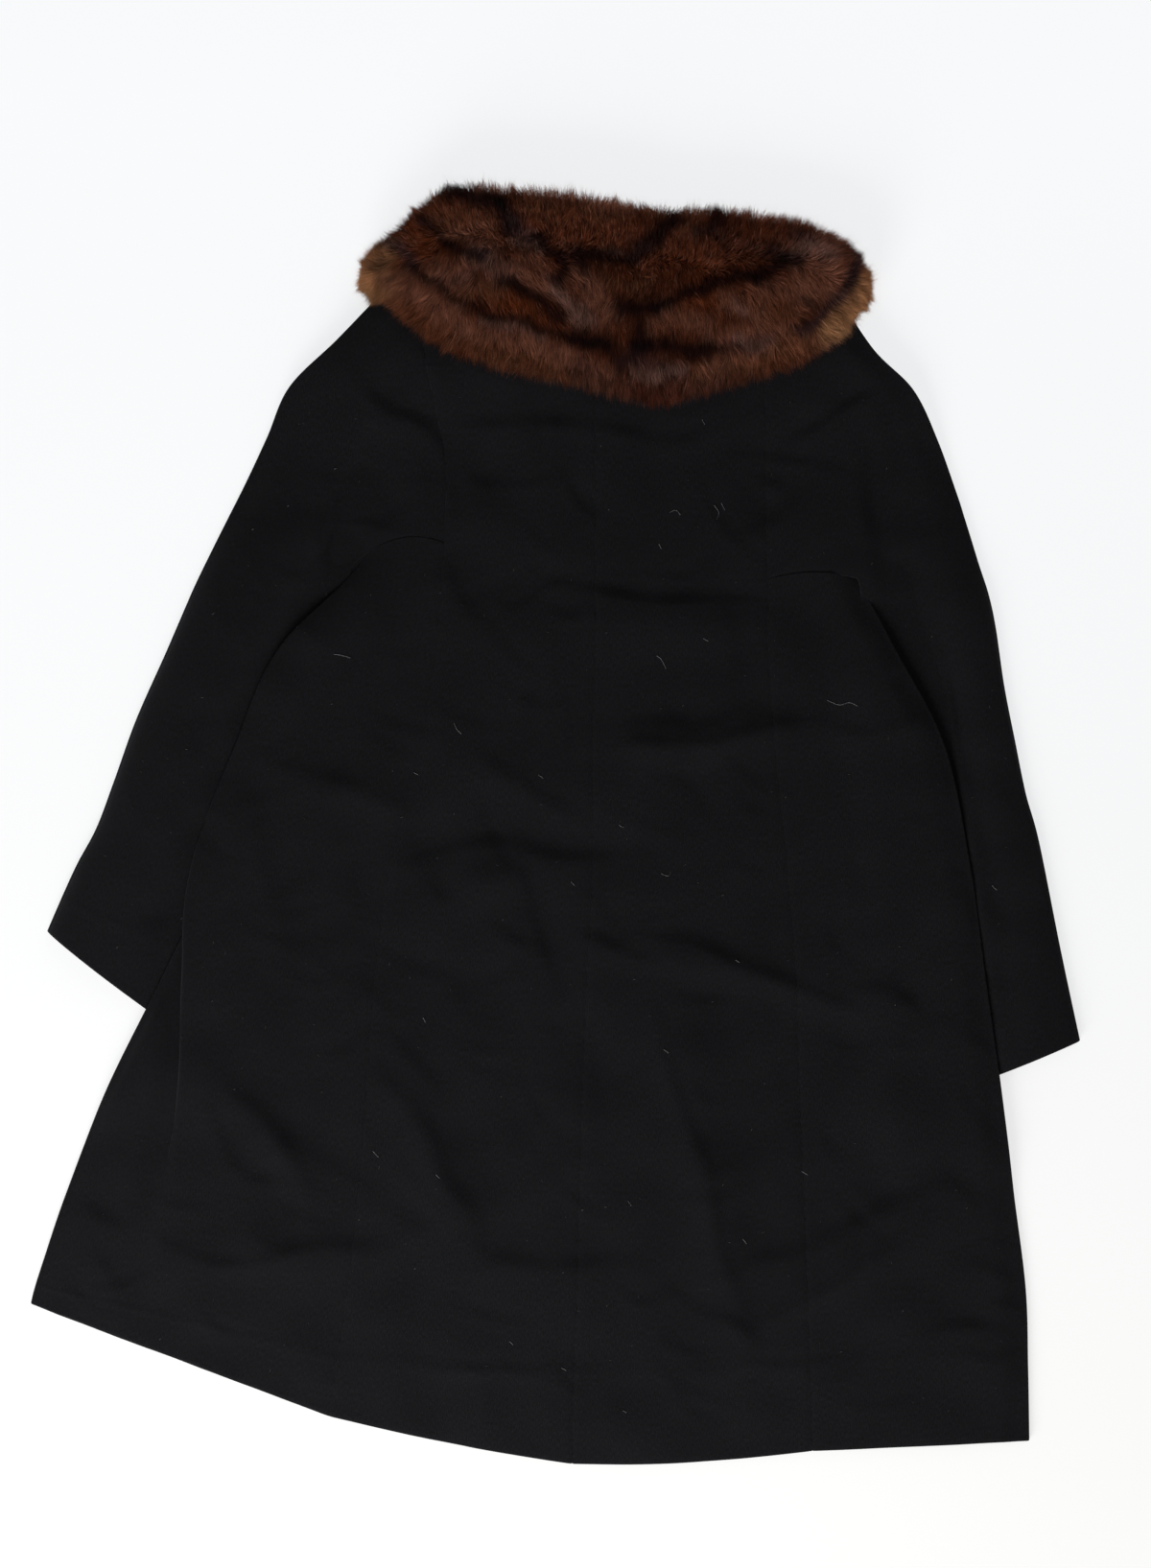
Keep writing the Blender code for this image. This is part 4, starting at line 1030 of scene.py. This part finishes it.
# The bands of shade: each one's points, half its width, its strength, and its shade.
# The grey bands are painted sheen on the glossy hair.
PELT_BANDS = [
    # the left half: its tan rim along the top edge, lighter partly as painted light that shows through the
    # thin hair there, its end and lower band
    ([(-112, 508), (-100, 518), (-92, 523)], 7, 0.55, "tan"),
    ([(-62, 523), (-40, 527), (-20, 524), (0, 521), (20, 517), (42, 512), (60, 507)], 8, 0.75, "light"),
    ([(-20, 508), (10, 502), (50, 498)], 9, 0.35, "tan"),
    ([(-162, 474), (-166, 460), (-160, 444), (-152, 428)], 9, 0.90, "gold"),
    ([(-150, 478), (-140, 470), (-146, 456), (-136, 440)], 10, 0.55, "gold"),
    ([(-138, 446), (-124, 438), (-108, 428), (-94, 416), (-76, 408)], 8, 0.60, "light"),
    ([(-130, 424), (-108, 408), (-84, 396)], 9, 0.40, "tan"),
    ([(-76, 404), (-50, 398), (-20, 390), (6, 384)], 8, 0.65, "light"),
    ([(-64, 388), (-36, 380), (-6, 374), (18, 366), (40, 360), (58, 354)], 9, 0.60, "tan"),
    ([(6, 380), (26, 376), (44, 370)], 7, 0.45, "light"),
    ([(-96, 492), (-74, 494), (-54, 490)], 9, 0.35, "tan"),
    ([(-118, 498), (-112, 486), (-104, 476)], 8, 0.55, "red"),
    ([(-78, 431), (-64, 437), (-50, 435)], 8, 0.60, "tan"),
    ([(-40, 424), (-22, 424), (-6, 420)], 8, 0.75, "red"),
    ([(6, 492), (30, 482), (46, 476)], 12, 0.25, "red"),
    ([(-94, 482), (-82, 482), (-70, 479)], 5, 0.60, "light"),
    ([(-60, 486), (-54, 474), (-52, 466)], 7, 0.35, "light"),
    ([(-66, 464), (-56, 462), (-48, 455), (-40, 451)], 9, 0.75, "painted_grey_sheen"),
    ([(-100, 454), (-84, 452), (-70, 455)], 7, 0.55, "light"),
    ([(-96, 446), (-84, 444), (-72, 446)], 6, 0.30, "painted_grey_sheen"),
    ([(-118, 452), (-104, 446), (-92, 440)], 8, 0.45, "light"),
    ([(-112, 434), (-96, 426), (-80, 420)], 6, 0.55, "light"),
    ([(-44, 452), (-30, 449), (-18, 443), (-6, 437)], 7, 0.65, "light"),
    ([(-32, 476), (-20, 474), (-12, 470)], 6, 0.60, "painted_grey_sheen"),
    ([(-24, 462), (-14, 458), (-8, 452)], 6, 0.45, "light"),
    ([(2, 436), (8, 428), (14, 420), (20, 410)], 6, 0.75, "painted_grey_sheen"),
    ([(22, 442), (30, 434), (38, 424), (44, 416)], 9, 0.70, "light"),
    ([(24, 420), (28, 410)], 6, 0.60, "painted_grey_sheen"),
    ([(16, 452), (28, 444), (36, 442)], 6, 0.45, "light"),
    ([(-60, 411), (-44, 408), (-28, 404), (-12, 397)], 4, 0.50, "painted_grey_sheen"),
    # its dark marks
    ([(-90, 524), (-76, 517), (-58, 512), (-42, 507)], 9, 0.88, "dark"),
    ([(-44, 510), (-40, 498), (-38, 486)], 7, 0.80, "dark"),
    ([(-34, 492), (-26, 484), (-20, 480)], 6, 0.55, "greydark"),
    ([(-110, 494), (-102, 491), (-97, 487)], 6, 0.80, "dark"),
    ([(-94, 477), (-85, 473), (-74, 466), (-63, 463)], 5, 0.82, "dark"),
    ([(-62, 463), (-57, 469)], 3.5, 0.60, "greydark"),
    ([(-139, 476), (-127, 471), (-119, 463), (-118, 454)], 5, 0.70, "greydark"),
    ([(-151, 456), (-141, 460)], 3, 0.50, "dark"),
    ([(-137, 446), (-132, 449)], 3, 0.40, "dark"),
    ([(-124, 456), (-112, 449), (-101, 443), (-92, 436), (-82, 429), (-74, 423), (-64, 420),
      (-54, 415)], 3.8, 0.70, "dark"),
    ([(-54, 413), (-38, 412), (-24, 408), (-10, 403), (2, 400), (14, 397), (28, 394),
      (44, 392)], 4, 0.70, "dark"),
    ([(16, 396), (30, 392), (42, 393)], 7, 0.85, "dark"),
    ([(-43, 443), (-31, 438), (-20, 433), (-11, 427), (-4, 420), (4, 414)], 5.5, 0.85, "dark"),
    ([(-12, 478), (-4, 470), (5, 464), (8, 455), (6, 445)], 6.5, 0.82, "dark"),
    ([(18, 466), (34, 465), (50, 463)], 7, 0.85, "dark"),
    ([(20, 458), (23, 450)], 6, 0.70, "dark"),
    ([(-8, 448), (0, 446)], 4, 0.40, "greydark"),
    # the right half
    # the top edge: tan and light, partly painted light that shows through the thin hair there
    ([(78, 505), (100, 505), (120, 505)], 6, 0.60, "tan"),
    ([(144, 506), (165, 503), (188, 500)], 6, 0.65, "light"),
    ([(200, 496), (216, 489), (236, 480)], 6, 0.35, "tan"),
    ([(68, 512), (70, 505)], 4, 0.50, "red"),
    ([(104, 488), (112, 486)], 7, 0.30, "tan"),
    ([(100, 455), (124, 456)], 12, 0.30, "red"),
    ([(48, 440), (62, 437), (74, 440)], 7, 0.45, "tan"),
    ([(92, 418), (106, 412), (122, 408)], 9, 0.60, "light"),
    ([(106, 424), (124, 424), (140, 428)], 6, 0.50, "red"),
    ([(142, 427), (154, 422), (166, 416)], 8, 0.65, "light"),
    ([(150, 424), (156, 420)], 4, 0.50, "painted_grey_sheen"),
    ([(168, 434), (186, 434), (200, 430)], 9, 0.55, "light"),
    ([(176, 418), (190, 414), (200, 408)], 8, 0.40, "tan"),
    ([(200, 470), (214, 472), (228, 467)], 9, 0.70, "painted_grey_sheen"),
    ([(200, 456), (216, 454), (230, 450)], 8, 0.60, "light"),
    ([(204, 440), (216, 436), (228, 436)], 9, 0.70, "light"),
    ([(222, 482), (236, 476), (246, 470)], 7, 0.40, "light"),
    ([(128, 396), (150, 399), (172, 403), (192, 403)], 7, 0.60, "light"),
    ([(150, 396), (166, 390), (178, 394)], 5, 0.60, "painted_grey_sheen"),
    ([(84, 410), (80, 404)], 6, 0.40, "light"),
    ([(56, 356), (76, 350), (98, 350), (116, 354)], 9, 0.40, "red"),
    ([(112, 364), (136, 371), (160, 377), (182, 385), (204, 392), (226, 402)], 9, 0.80, "tan"),
    ([(126, 374), (150, 381), (176, 389)], 5, 0.45, "light"),
    ([(228, 402), (244, 416), (256, 432), (264, 448), (262, 462)], 9, 0.92, "gold"),
    ([(236, 418), (246, 430), (252, 444)], 7, 0.50, "gold"),
    # its dark marks
    ([(62, 464), (71, 470), (79, 477), (88, 486), (97, 494)], 8.5, 0.88, "dark"),
    ([(136, 506), (134, 494), (127, 486), (116, 484)], 7, 0.80, "dark"),
    ([(140, 482), (160, 472), (176, 470)], 10, 0.40, "dark"),
    ([(56, 420), (68, 421), (84, 422)], 8, 0.90, "dark"),
    ([(84, 422), (98, 427), (110, 434), (122, 438), (136, 442), (151, 448), (166, 448)], 5, 0.82, "dark"),
    ([(166, 448), (180, 453), (190, 460), (200, 461)], 7, 0.85, "dark"),
    ([(180, 470), (186, 464)], 6, 0.70, "dark"),
    ([(200, 484), (210, 480)], 6, 0.50, "greydark"),
    ([(207, 429), (214, 424)], 4, 0.60, "dark"),
    ([(206, 411), (214, 410)], 3.5, 0.70, "dark"),
    ([(250, 468), (248, 460), (244, 452), (242, 443), (236, 434), (229, 426), (222, 418), (214, 408),
      (204, 403)], 5, 0.75, "greydark"),
    ([(244, 452), (241, 443)], 4, 0.60, "dark"),
    ([(70, 404), (72, 396), (68, 388)], 7, 0.85, "dark"),
    ([(66, 389), (84, 391), (100, 389), (114, 388), (128, 390)], 6.5, 0.85, "dark"),
    ([(136, 388), (160, 391), (176, 396)], 4, 0.50, "greydark"),
    ([(110, 381), (126, 383)], 5, 0.60, "dark"),
    ([(20, 370), (50, 358), (80, 354), (110, 355), (140, 364)], 11, 0.34, "greydark"),
    ([(56, 378), (76, 374), (98, 370)], 8, 0.60, "greydark"),
    ([(64, 366), (84, 368), (104, 372)], 5, 0.50, "painted_grey_sheen"),
    ([(44, 388), (52, 382), (54, 372)], 6, 0.50, "dark"),
]

HAIR_PARTS, HAIRS_A_PART, FRONT_HAIRS = 4, 45000, 3500
HAIR_LENGTH, HAIR_WIDTH = 11.5 * MM, 0.32 * MM
HAIR_ROOM = 4.5 * MM  # how much of the pile's height is left to the hair
TUFT = 4.2 * MM
# The shares of the hairs that stand at the pelt's two edges, that are long, and that are pale with a painted
# highlight.
EDGE_HAIRS, LONG_HAIRS, PAINTED_HIGHLIGHT_HAIRS = 0.20, 0.04, 0.08
EDGE_BAND = 0.05  # how much of the way across each edge takes
# The hair parts here, fans out over these two reaches, and turns at two whorls: the turn, the place, and how
# far it reaches in x and in y.
HAIR_MIDDLE_X, HAIR_REACH = 48 * MM, (215 * MM, 220 * MM)
WHORLS = [(0.75, (-12, 440), (46, 30)), (-0.45, (44, 428), (20, 28))]


def noise_at(x, y, size, seed):
    """Smooth noise from -1 to 1 with lumps of a given size."""
    rng = np.random.default_rng(seed)
    total = np.zeros_like(x)
    for _ in range(7):
        turn = rng.uniform(0, 2 * math.pi)
        pace = 2 * math.pi / (size * rng.uniform(0.7, 1.6))
        total += np.sin((x * math.cos(turn) + y * math.sin(turn)) * pace + rng.uniform(0, 2 * math.pi))
    return total / 4.2


def distance_to(line, x, y):
    """How far each place is from a line of points."""
    offs = (from_stretch(start, end, x, y)[1:] for start, end in zip(line, line[1:]))
    return np.min([np.hypot(*off) for off in offs], axis=0)


def pelt_colour(x, y):
    """The fur's colour at each place, from the listed bands."""
    wander_x = PELT_WANDER * noise_at(x, y, 34 * MM, 5)
    wander_y = PELT_WANDER * noise_at(x, y, 27 * MM, 6)
    colour = np.tile(np.array(SHADES["brown"]), (len(x), 1))
    # the grey bands among them lay painted sheen
    for points, half_width, strength, shade in PELT_BANDS:
        line = smooth_line(points, 5 if len(points) > 2 else 1) * MM
        away = distance_to(line, x + wander_x, y + wander_y) / (half_width * MM)
        share = strength * np.exp(-(away**2.4) * 0.8)
        colour += (np.array(SHADES[shade]) - colour) * share[:, None]
    return colour * (1 + 0.14 * noise_at(x, y, 9 * MM, 7) + 0.10 * noise_at(x, y, 22 * MM, 17))[:, None]


def collar_floor(x, y):
    """The underside of the collar's fall: on the back, and down on the front collar at its two ends."""
    over = back_floor(x, np.minimum(y, NECK_SEAM_Y)) + CLOTH + COLLAR_REST
    left, right = (smooth(low, high, x) for low, high in COLLAR_END_DROPS)
    return COLLAR_PILE_FRONT + (over - COLLAR_PILE_FRONT) * np.minimum(left, right)


def flat_ground(x, y):
    """The plane that the coat lies on."""
    return 0 * x


class Pelt:
    """A fur collar's skin: a domed surface between two edge lines, over a floor."""

    def __init__(self, table, floor, inset):
        self.columns = [column_of(table, COLLAR_COLUMNS, name, 12) * MM for name in COLLAR_COLUMNS]
        self.floor = floor
        self.inset = inset

    def at(self, along, across):
        """The skin's points at shares along the collar and across it, and the floor below them."""
        place = np.clip(along, 0, 1) * (len(self.columns[0]) - 1)
        x, top, low, height = (np.interp(place, np.arange(len(column)), column) for column in self.columns)
        middle, half = (top + low) / 2, (top - low) / 2
        half = np.maximum(half - self.inset, half * 0.35)
        centre_x = self.columns[0].mean()
        reach = np.abs(self.columns[0] - centre_x).max()
        x = centre_x + (x - centre_x) * (1 - self.inset / reach)
        y = middle + (across * 2 - 1) * half
        pile = np.interp(across, *zip(*PILE_PROFILE)) * np.maximum(height - HAIR_ROOM, 2.5 * MM)
        swell = 1 + 0.05 * noise_at(x, y, 60 * MM, 3) + 0.04 * noise_at(x, y, 24 * MM, 4)
        ground = self.floor(x, y)
        return np.stack([x, y, ground + pile * swell], axis=-1), ground


def paint(made, colours):
    """Gives each point of a mesh its colour."""
    layer = made.data.color_attributes.new("shade", "FLOAT_COLOR", "POINT")
    layer.data.foreach_set("color", np.column_stack([np.clip(colours, 0, 1), np.ones(len(colours))]).ravel())


def add_skin(name, pelt, along_count, across_count):
    """The closed body of a pelt, that the hair stands on."""
    across = 0.5 - 0.5 * np.cos(np.linspace(0, math.pi, across_count))
    along, across = np.meshgrid(np.linspace(0, 1, along_count), across, indexing="ij")
    upper, ground = pelt.at(along.ravel(), across.ravel())
    upper = upper.reshape(along_count, across_count, 3)
    lower = upper.copy()
    lower[..., 2] = np.minimum(ground.reshape(along_count, across_count) + 0.2 * MM, upper[..., 2] - 0.5 * MM)
    made = wall_of(name, upper, lower, 0.5 * MM)
    points = np.empty(len(made.data.vertices) * 3)
    made.data.vertices.foreach_get("co", points)
    paint(made, pelt_colour(*points.reshape(-1, 3).T[:2]) * SKIN_SHADE)
    return made


def lattice_noise(x, y, factors, scale):
    """A random number from 0 to 1 for each whole x and y."""
    return np.modf(np.abs(np.sin(x * factors[0] + y * factors[1] + factors[2]) * scale))[0]


def tuft_of(x, y, seed):
    """The middle of the tuft that each place belongs to, and a random number for each tuft."""
    best, found, pick = np.full(x.shape, 1e9), np.zeros((len(x), 2)), np.zeros(len(x))
    cell_x, cell_y = np.floor(x / TUFT), np.floor(y / TUFT)
    for step_x in (-1, 0, 1):
        for step_y in (-1, 0, 1):
            cx, cy = cell_x + step_x, cell_y + step_y
            first = lattice_noise(cx, cy, (127.1, 311.7, seed), 43758.5)
            second = lattice_noise(cx, cy, (269.5, 183.3, seed), 24634.6)
            middle = np.stack([cx + first, cy + second], axis=1) * TUFT
            away = np.hypot(x - middle[:, 0], y - middle[:, 1])
            nearer = away < best
            best = np.where(nearer, away, best)
            found[nearer] = middle[nearer]
            pick = np.where(nearer, np.modf(first * 71.3 + second * 37.9)[0], pick)
    return found, pick


def hair_directions(x, y, across):
    """Which way the hair lies at each place, as seen from above, and how flat it lies (0 upright, 1 flat)."""
    side = (x - HAIR_MIDDLE_X) / np.where(x < HAIR_MIDDLE_X, HAIR_REACH[0], HAIR_REACH[1])
    fan = side * (0.35 + 1.1 * np.abs(side) ** 3)
    for turn, (whorl_x, whorl_y), (wide, long) in WHORLS:
        fan = fan + turn * bell(x - whorl_x * MM, wide * MM) * bell(y - whorl_y * MM, long * MM)
    lower = np.stack([np.sin(fan), -np.cos(fan)], axis=1)
    upper = np.stack([np.sin(fan * 0.9), np.cos(fan * 0.9)], axis=1)
    across = across + 0.09 * noise_at(x, y, 46 * MM, 12) + 0.05 * noise_at(x, y, 3 * MM, 13)
    lift = smooth(0.50, 0.90, across)[:, None]
    flow = lower * (1 - lift) + upper * lift
    size = np.linalg.norm(flow, axis=1)
    turn = 0.45 * noise_at(x, y, 26 * MM, 8) + 0.30 * noise_at(x, y, 11 * MM, 9)
    flow_x, flow_y = flow.T / np.maximum(size, 1e-6)
    cos, sin = np.cos(turn), np.sin(turn)
    flow = np.stack([flow_x * cos - flow_y * sin, flow_x * sin + flow_y * cos], axis=1)
    return flow, np.clip(size, 0.25, 1.0)


def scattered(rng, along_range, count):
    """Shares along a pelt and across it with no order, and more of them at its two edges."""
    along = rng.uniform(*along_range, count)
    across = rng.uniform(0, 1, count)
    edge = rng.uniform(0, 1, count) < EDGE_HAIRS
    at_edge = np.where(rng.uniform(0, 1, count) < 0.5, across * EDGE_BAND, 1 - across * EDGE_BAND)
    return along, np.where(edge, at_edge, across)


def near_ends(share, reach):
    """1 at either end of the shares from 0 to 1, and 0 further in than a reach."""
    return np.maximum(1 - smooth(0.0, reach, share), smooth(1 - reach, 1.0, share))


def hair_lines(rng, pelt, root, across, rim, tuft, pick):
    """Each hair's root, middle and tip."""
    count = len(across)
    flow, flat = hair_directions(root[:, 0], root[:, 1], across)
    reach = HAIR_LENGTH * (0.62 + 0.50 * rng.uniform(0, 1, count)) * (0.88 + 0.24 * pick)
    reach *= np.where(rng.uniform(0, 1, count) < LONG_HAIRS, 1.35, 1.0)
    reach *= 1 - 0.35 * smooth(0.5, 0.9, across) * (1 - smooth(0.93, 1.0, across))
    lean = np.clip(0.55 + 0.40 * flat + 0.10 * (pick - 0.5) + rng.normal(0, 0.06, count), 0.2, 0.97)
    lean = np.clip(lean + 0.10 * rim, 0.2, 0.985)
    ahead = np.column_stack([flow * (reach * lean)[:, None], reach * np.sqrt(1 - lean**2) * 0.80])
    scatter = rng.normal(0, 0.9 * MM, (count, 3)) * (1, 1, 0.5) * (1 + 0.9 * rim)[:, None]
    pull = (tuft - root[:, :2]) * (0.36 * rng.uniform(0.2, 1, count) * (1 - 0.75 * rim))[:, None]
    tip = root + ahead + scatter
    tip[:, :2] += pull
    middle = root + ahead * (0.42, 0.42, 0.75) + 0.4 * scatter
    middle[:, :2] += pull * 0.45
    for points, least in ((tip, 0.8 * MM), (middle, 1.0 * MM)):
        points[:, 2] = np.maximum(points[:, 2], pelt.floor(points[:, 0], points[:, 1]) + least)
    return root - ahead * 0.03, middle, tip


def blade_points(rng, root, middle, tip, rim):
    """Each hair as a bent blade that tapers: two wide points, two narrower, and a tip."""
    axis = tip - root
    axis /= np.linalg.norm(axis, axis=1)[:, None]
    roll = rng.normal(0, 0.7, len(rim))[:, None]
    side = np.cross(axis, (0.0, 0.0, 1.0))
    side /= np.maximum(np.linalg.norm(side, axis=1), 1e-6)[:, None]
    half = HAIR_WIDTH * rng.uniform(0.7, 1.3, len(rim)) * (1 - 0.35 * rim) / 2
    half = half[:, None] * (side * np.cos(roll) + np.cross(axis, side) * np.sin(roll))
    points = [root - half, root + half, middle + half * 0.85, middle - half * 0.85, tip]
    return np.stack(points, axis=1).reshape(-1, 3)


def hair_shades(rng, places, across, pick):
    """The colours of each hair's five points: dark at the root, palest at the tip as painted sheen, darker
    near the lower edge as painted shade, and a few hairs pale with a painted highlight.
    """
    count = len(pick)
    shade = pelt_colour(*places.T[:2])
    shade *= ((0.66 + 0.68 * rng.uniform(0, 1, count)) * (0.82 + 0.36 * pick))[:, None]
    # painted shade: darker towards the pelt's lower edge, where the fur curls under
    shade *= (0.55 + 0.45 * smooth(0.0, 0.09, across))[:, None]
    # a few hairs get a painted highlight, as pale streaks
    pale = (rng.uniform(0, 1, count) < PAINTED_HIGHLIGHT_HAIRS) * (shade.sum(axis=1) > 0.12)
    shade += pale[:, None] * PAINTED_HIGHLIGHT
    return (shade[:, None] * HAIR_STEPS[:, None]).reshape(-1, 3)


def add_hair(name, pelt, count, along_range, seed):
    """Tapered hairs on part of a pelt, as one mesh."""
    rng = np.random.default_rng(seed)
    along, across = scattered(rng, along_range, count)
    rim = np.maximum(near_ends(across, 0.08), near_ends(along, 0.03))
    root, _ = pelt.at(along, across)
    tuft, pick = tuft_of(root[:, 0], root[:, 1], seed)
    root, middle, tip = hair_lines(rng, pelt, root, across, rim, tuft, pick)
    points = blade_points(rng, root, middle, tip, rim)
    triangles = (np.arange(count)[:, None] * 5 + (0, 1, 2, 0, 2, 3, 3, 2, 4)).reshape(-1, 3)
    made = add_mesh(name, points, triangles)
    paint(made, hair_shades(rng, 0.35 * root + 0.65 * tip, across, pick))
    return made


def finish_fur(piece, finish, cad_node=None):
    """Gives a piece of fur its finish, puts it on the root body, and hides the solid that it stands for, if
    one is given.
    """
    piece.data.materials.append(finish)
    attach(piece, "root")
    if cad_node:
        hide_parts(cad_node)


def build_fur():
    """The fall over the back with its hair, and the two front ends."""
    skin, hair = fur_material("fur_skin", 0.8), fur_material("fur_hair", 0.50)
    pelt = Pelt(COLLAR_ROWS, collar_floor, 7 * MM)
    finish_fur(add_skin("fur_collar_skin", pelt, 140, 34), skin, "fur_collar_back")
    for part in range(HAIR_PARTS):
        span = (part / HAIR_PARTS, (part + 1) / HAIR_PARTS)
        finish_fur(add_hair("fur_collar_hair_%d" % (part + 1), pelt, HAIRS_A_PART, span, 20 + part), hair)
    for side, table in FRONT_COLLAR_ROWS.items():
        end = Pelt(table, flat_ground, 6 * MM)
        finish_fur(add_skin("fur_front_skin_" + side, end, 40, 20), skin, "fur_collar_front_" + side)
        finish_fur(add_hair("fur_front_hair_" + side, end, FRONT_HAIRS, (0, 0.6), 31), hair)


# ------------------------------------------------------------
# Lint on the wool


# The longer fibres, along their points.
LINT_FIBRES = [
    [(84, 137), (88, 134), (92, 126)],
    [(-84, 81), (-82, 76), (-78, 72)],
    [(226, 100), (236, 96), (244, 98), (251, 95)],
    [(-184, 138), (-177, 137), (-170, 135)],
    [(122, 333), (124, 329)],
    [(86, 230), (88, 226)],
    [(95, 256), (100, 258), (104, 254)],
    [(132, 262), (136, 256), (134, 250)],
    [(138, 264), (141, 258)],
    [(123, 151), (127, 149)],
    [(53, -4), (57, -6)],
    [(13, -51), (16, -54)],
    [(88, -44), (94, -46), (96, -42)],
    [(-14, 38), (-10, 35)],
    [(-118, 40), (-114, 38)],
    [(-152, -275), (-147, -280)],
    [(-99, -294), (-96, -297)],
    [(60, -316), (63, -320), (59, -321)],
    [(205, -292), (210, -295)],
    [(156, -348), (159, -352)],
    [(150, -116), (153, -118)],
    [(90, -190), (94, -193)],
    [(-38, -433), (-35, -436)],
    [(5, -455), (9, -457)],
    [(56, -490), (59, -492)],
    [(-110, -164), (-108, -168)],
    [(363, -54), (367, -58)],
]
LINT_PALE = 0.13
LINT_SPECKS = 420
LINT_WIDTH = 0.28 * MM
LINT_BEDS = ("coat_back_", "coat_side_back_", "coat_sleeve_back_")  # the cloth that it lies on


def lint_paths():
    """Every fibre's points, in metres, and how pale it is: those listed, then specks with no order."""
    rng = np.random.default_rng(77)
    paths = [(smooth_line(points, 4) * MM, LINT_PALE) for points in LINT_FIBRES]
    for _ in range(LINT_SPECKS):
        middle = np.array([rng.uniform(-0.40, 0.38), rng.uniform(-0.50, 0.36)])
        turn, reach = rng.uniform(0, math.pi), rng.uniform(0.3, 1.1) * MM
        way = np.array([math.cos(turn), math.sin(turn)]) * reach
        paths.append((np.array([middle - way, middle + way]), rng.uniform(0.02, 0.10)))
    return paths


def height_at(surfaces, x, y):
    """The height of the highest surface at a place, or None where there is none."""
    hits = [surface.ray_cast((x, y, 1.0), (0, 0, -1))[0] for surface in surfaces]
    return max([hit[2] for hit in hits if hit], default=None)


def add_lint():
    """Pale fibres lying on the cloth, as one mesh of narrow strips that take the shape of the cloth below."""
    bpy.context.view_layer.update()
    graph = bpy.context.evaluated_depsgraph_get()
    shown = [bpy.data.objects[name + side] for name in LINT_BEDS for side in SIDES]
    surfaces = [BVHTree.FromObject(piece, graph) for piece in shown]
    points, faces, shades = [], [], []
    for path, pale in lint_paths():
        heights = [height_at(surfaces, x, y) for x, y in path]
        if None in heights:
            continue
        way = path[-1] - path[0]
        side = np.array([-way[1], way[0]]) / np.hypot(*way) * LINT_WIDTH / 2
        first = len(points)
        for (x, y), z in zip(path, heights):
            points += [(x - side[0], y - side[1], z + 0.3 * MM), (x + side[0], y + side[1], z + 0.5 * MM)]
        faces += [(k, k + 2, k + 3, k + 1) for k in range(first, len(points) - 2, 2)]
        shades += [(pale, pale, pale * 1.02)] * (2 * len(path))
    made = add_mesh("lint", np.array(points), np.array(faces))
    paint(made, np.array(shades))
    finish_fur(made, fur_material("lint", 0.9))


# ------------------------------------------------------------
# The stage


FLOOR_HALF = 6.0
CAMERA_HEIGHT = 3.2
VIEW_LENGTH = 1.308  # the stretch of the floor that the picture shows
VIEW_CENTRE = (0.0168, 0.0304)
# The world's light by height: brighter at the horizon.
WORLD_GLOW = [(0.0, (0.72, 0.73, 0.74)), (0.3, (0.34, 0.345, 0.35)), (1.0, (0.04, 0.04, 0.04))]
# Two square soft lights: each one's place, aim, size and power. The key comes from the hem's end, low enough
# to show the creases.
LIGHTS = {
    "key": ((-0.79, -1.66, 1.02), (0.0, 0.0, 0.0), 1.2, 45),
    "fill": ((1.2, 1.6, 2.2), (0.0, 0.2, 0.0), 1.8, 8),
}


def add_floor():
    """The pale surface that the coat lies on."""
    points = np.array([(-1, -1, 0), (1, -1, 0), (1, 1, 0), (-1, 1, 0)]) * FLOOR_HALF
    made = add_mesh("floor", points, np.array([[0, 1, 2, 3]]))
    made.data.materials.append(floor_material())


def add_camera():
    """A camera straight above, its picture the stretch of floor above."""
    data = bpy.data.cameras.new("camera")
    data.sensor_width = 36.0
    data.lens = data.sensor_width * CAMERA_HEIGHT / VIEW_LENGTH
    made = add_object("camera", data)
    made.location = (*VIEW_CENTRE, CAMERA_HEIGHT)
    bpy.context.scene.camera = made


def add_lights():
    """The two lights, and soft light from all round."""
    for name, (place, aim, size, power) in LIGHTS.items():
        data = bpy.data.lights.new(name, "AREA")
        data.shape, data.size, data.energy = "SQUARE", size, power
        made = add_object(name, data)
        made.location = place
        made.rotation_euler = (Vector(aim) - Vector(place)).to_track_quat("-Z", "Y").to_euler()
    world = bpy.data.worlds.new("studio")
    world.use_nodes = True
    tree = world.node_tree
    parts = node(tree, "SeparateXYZ", {0: node(tree, "TexCoord").outputs["Generated"]})
    set_inputs(tree, tree.nodes["Background"], {"Color": ramp(tree, parts.outputs["Z"], WORLD_GLOW)})
    bpy.context.scene.world = world
    bpy.context.scene.view_settings.view_transform = "Standard"


build_cloth()
add_lint()
build_fur()
add_floor()
add_camera()
add_lights()
bpy.context.view_layer.update()
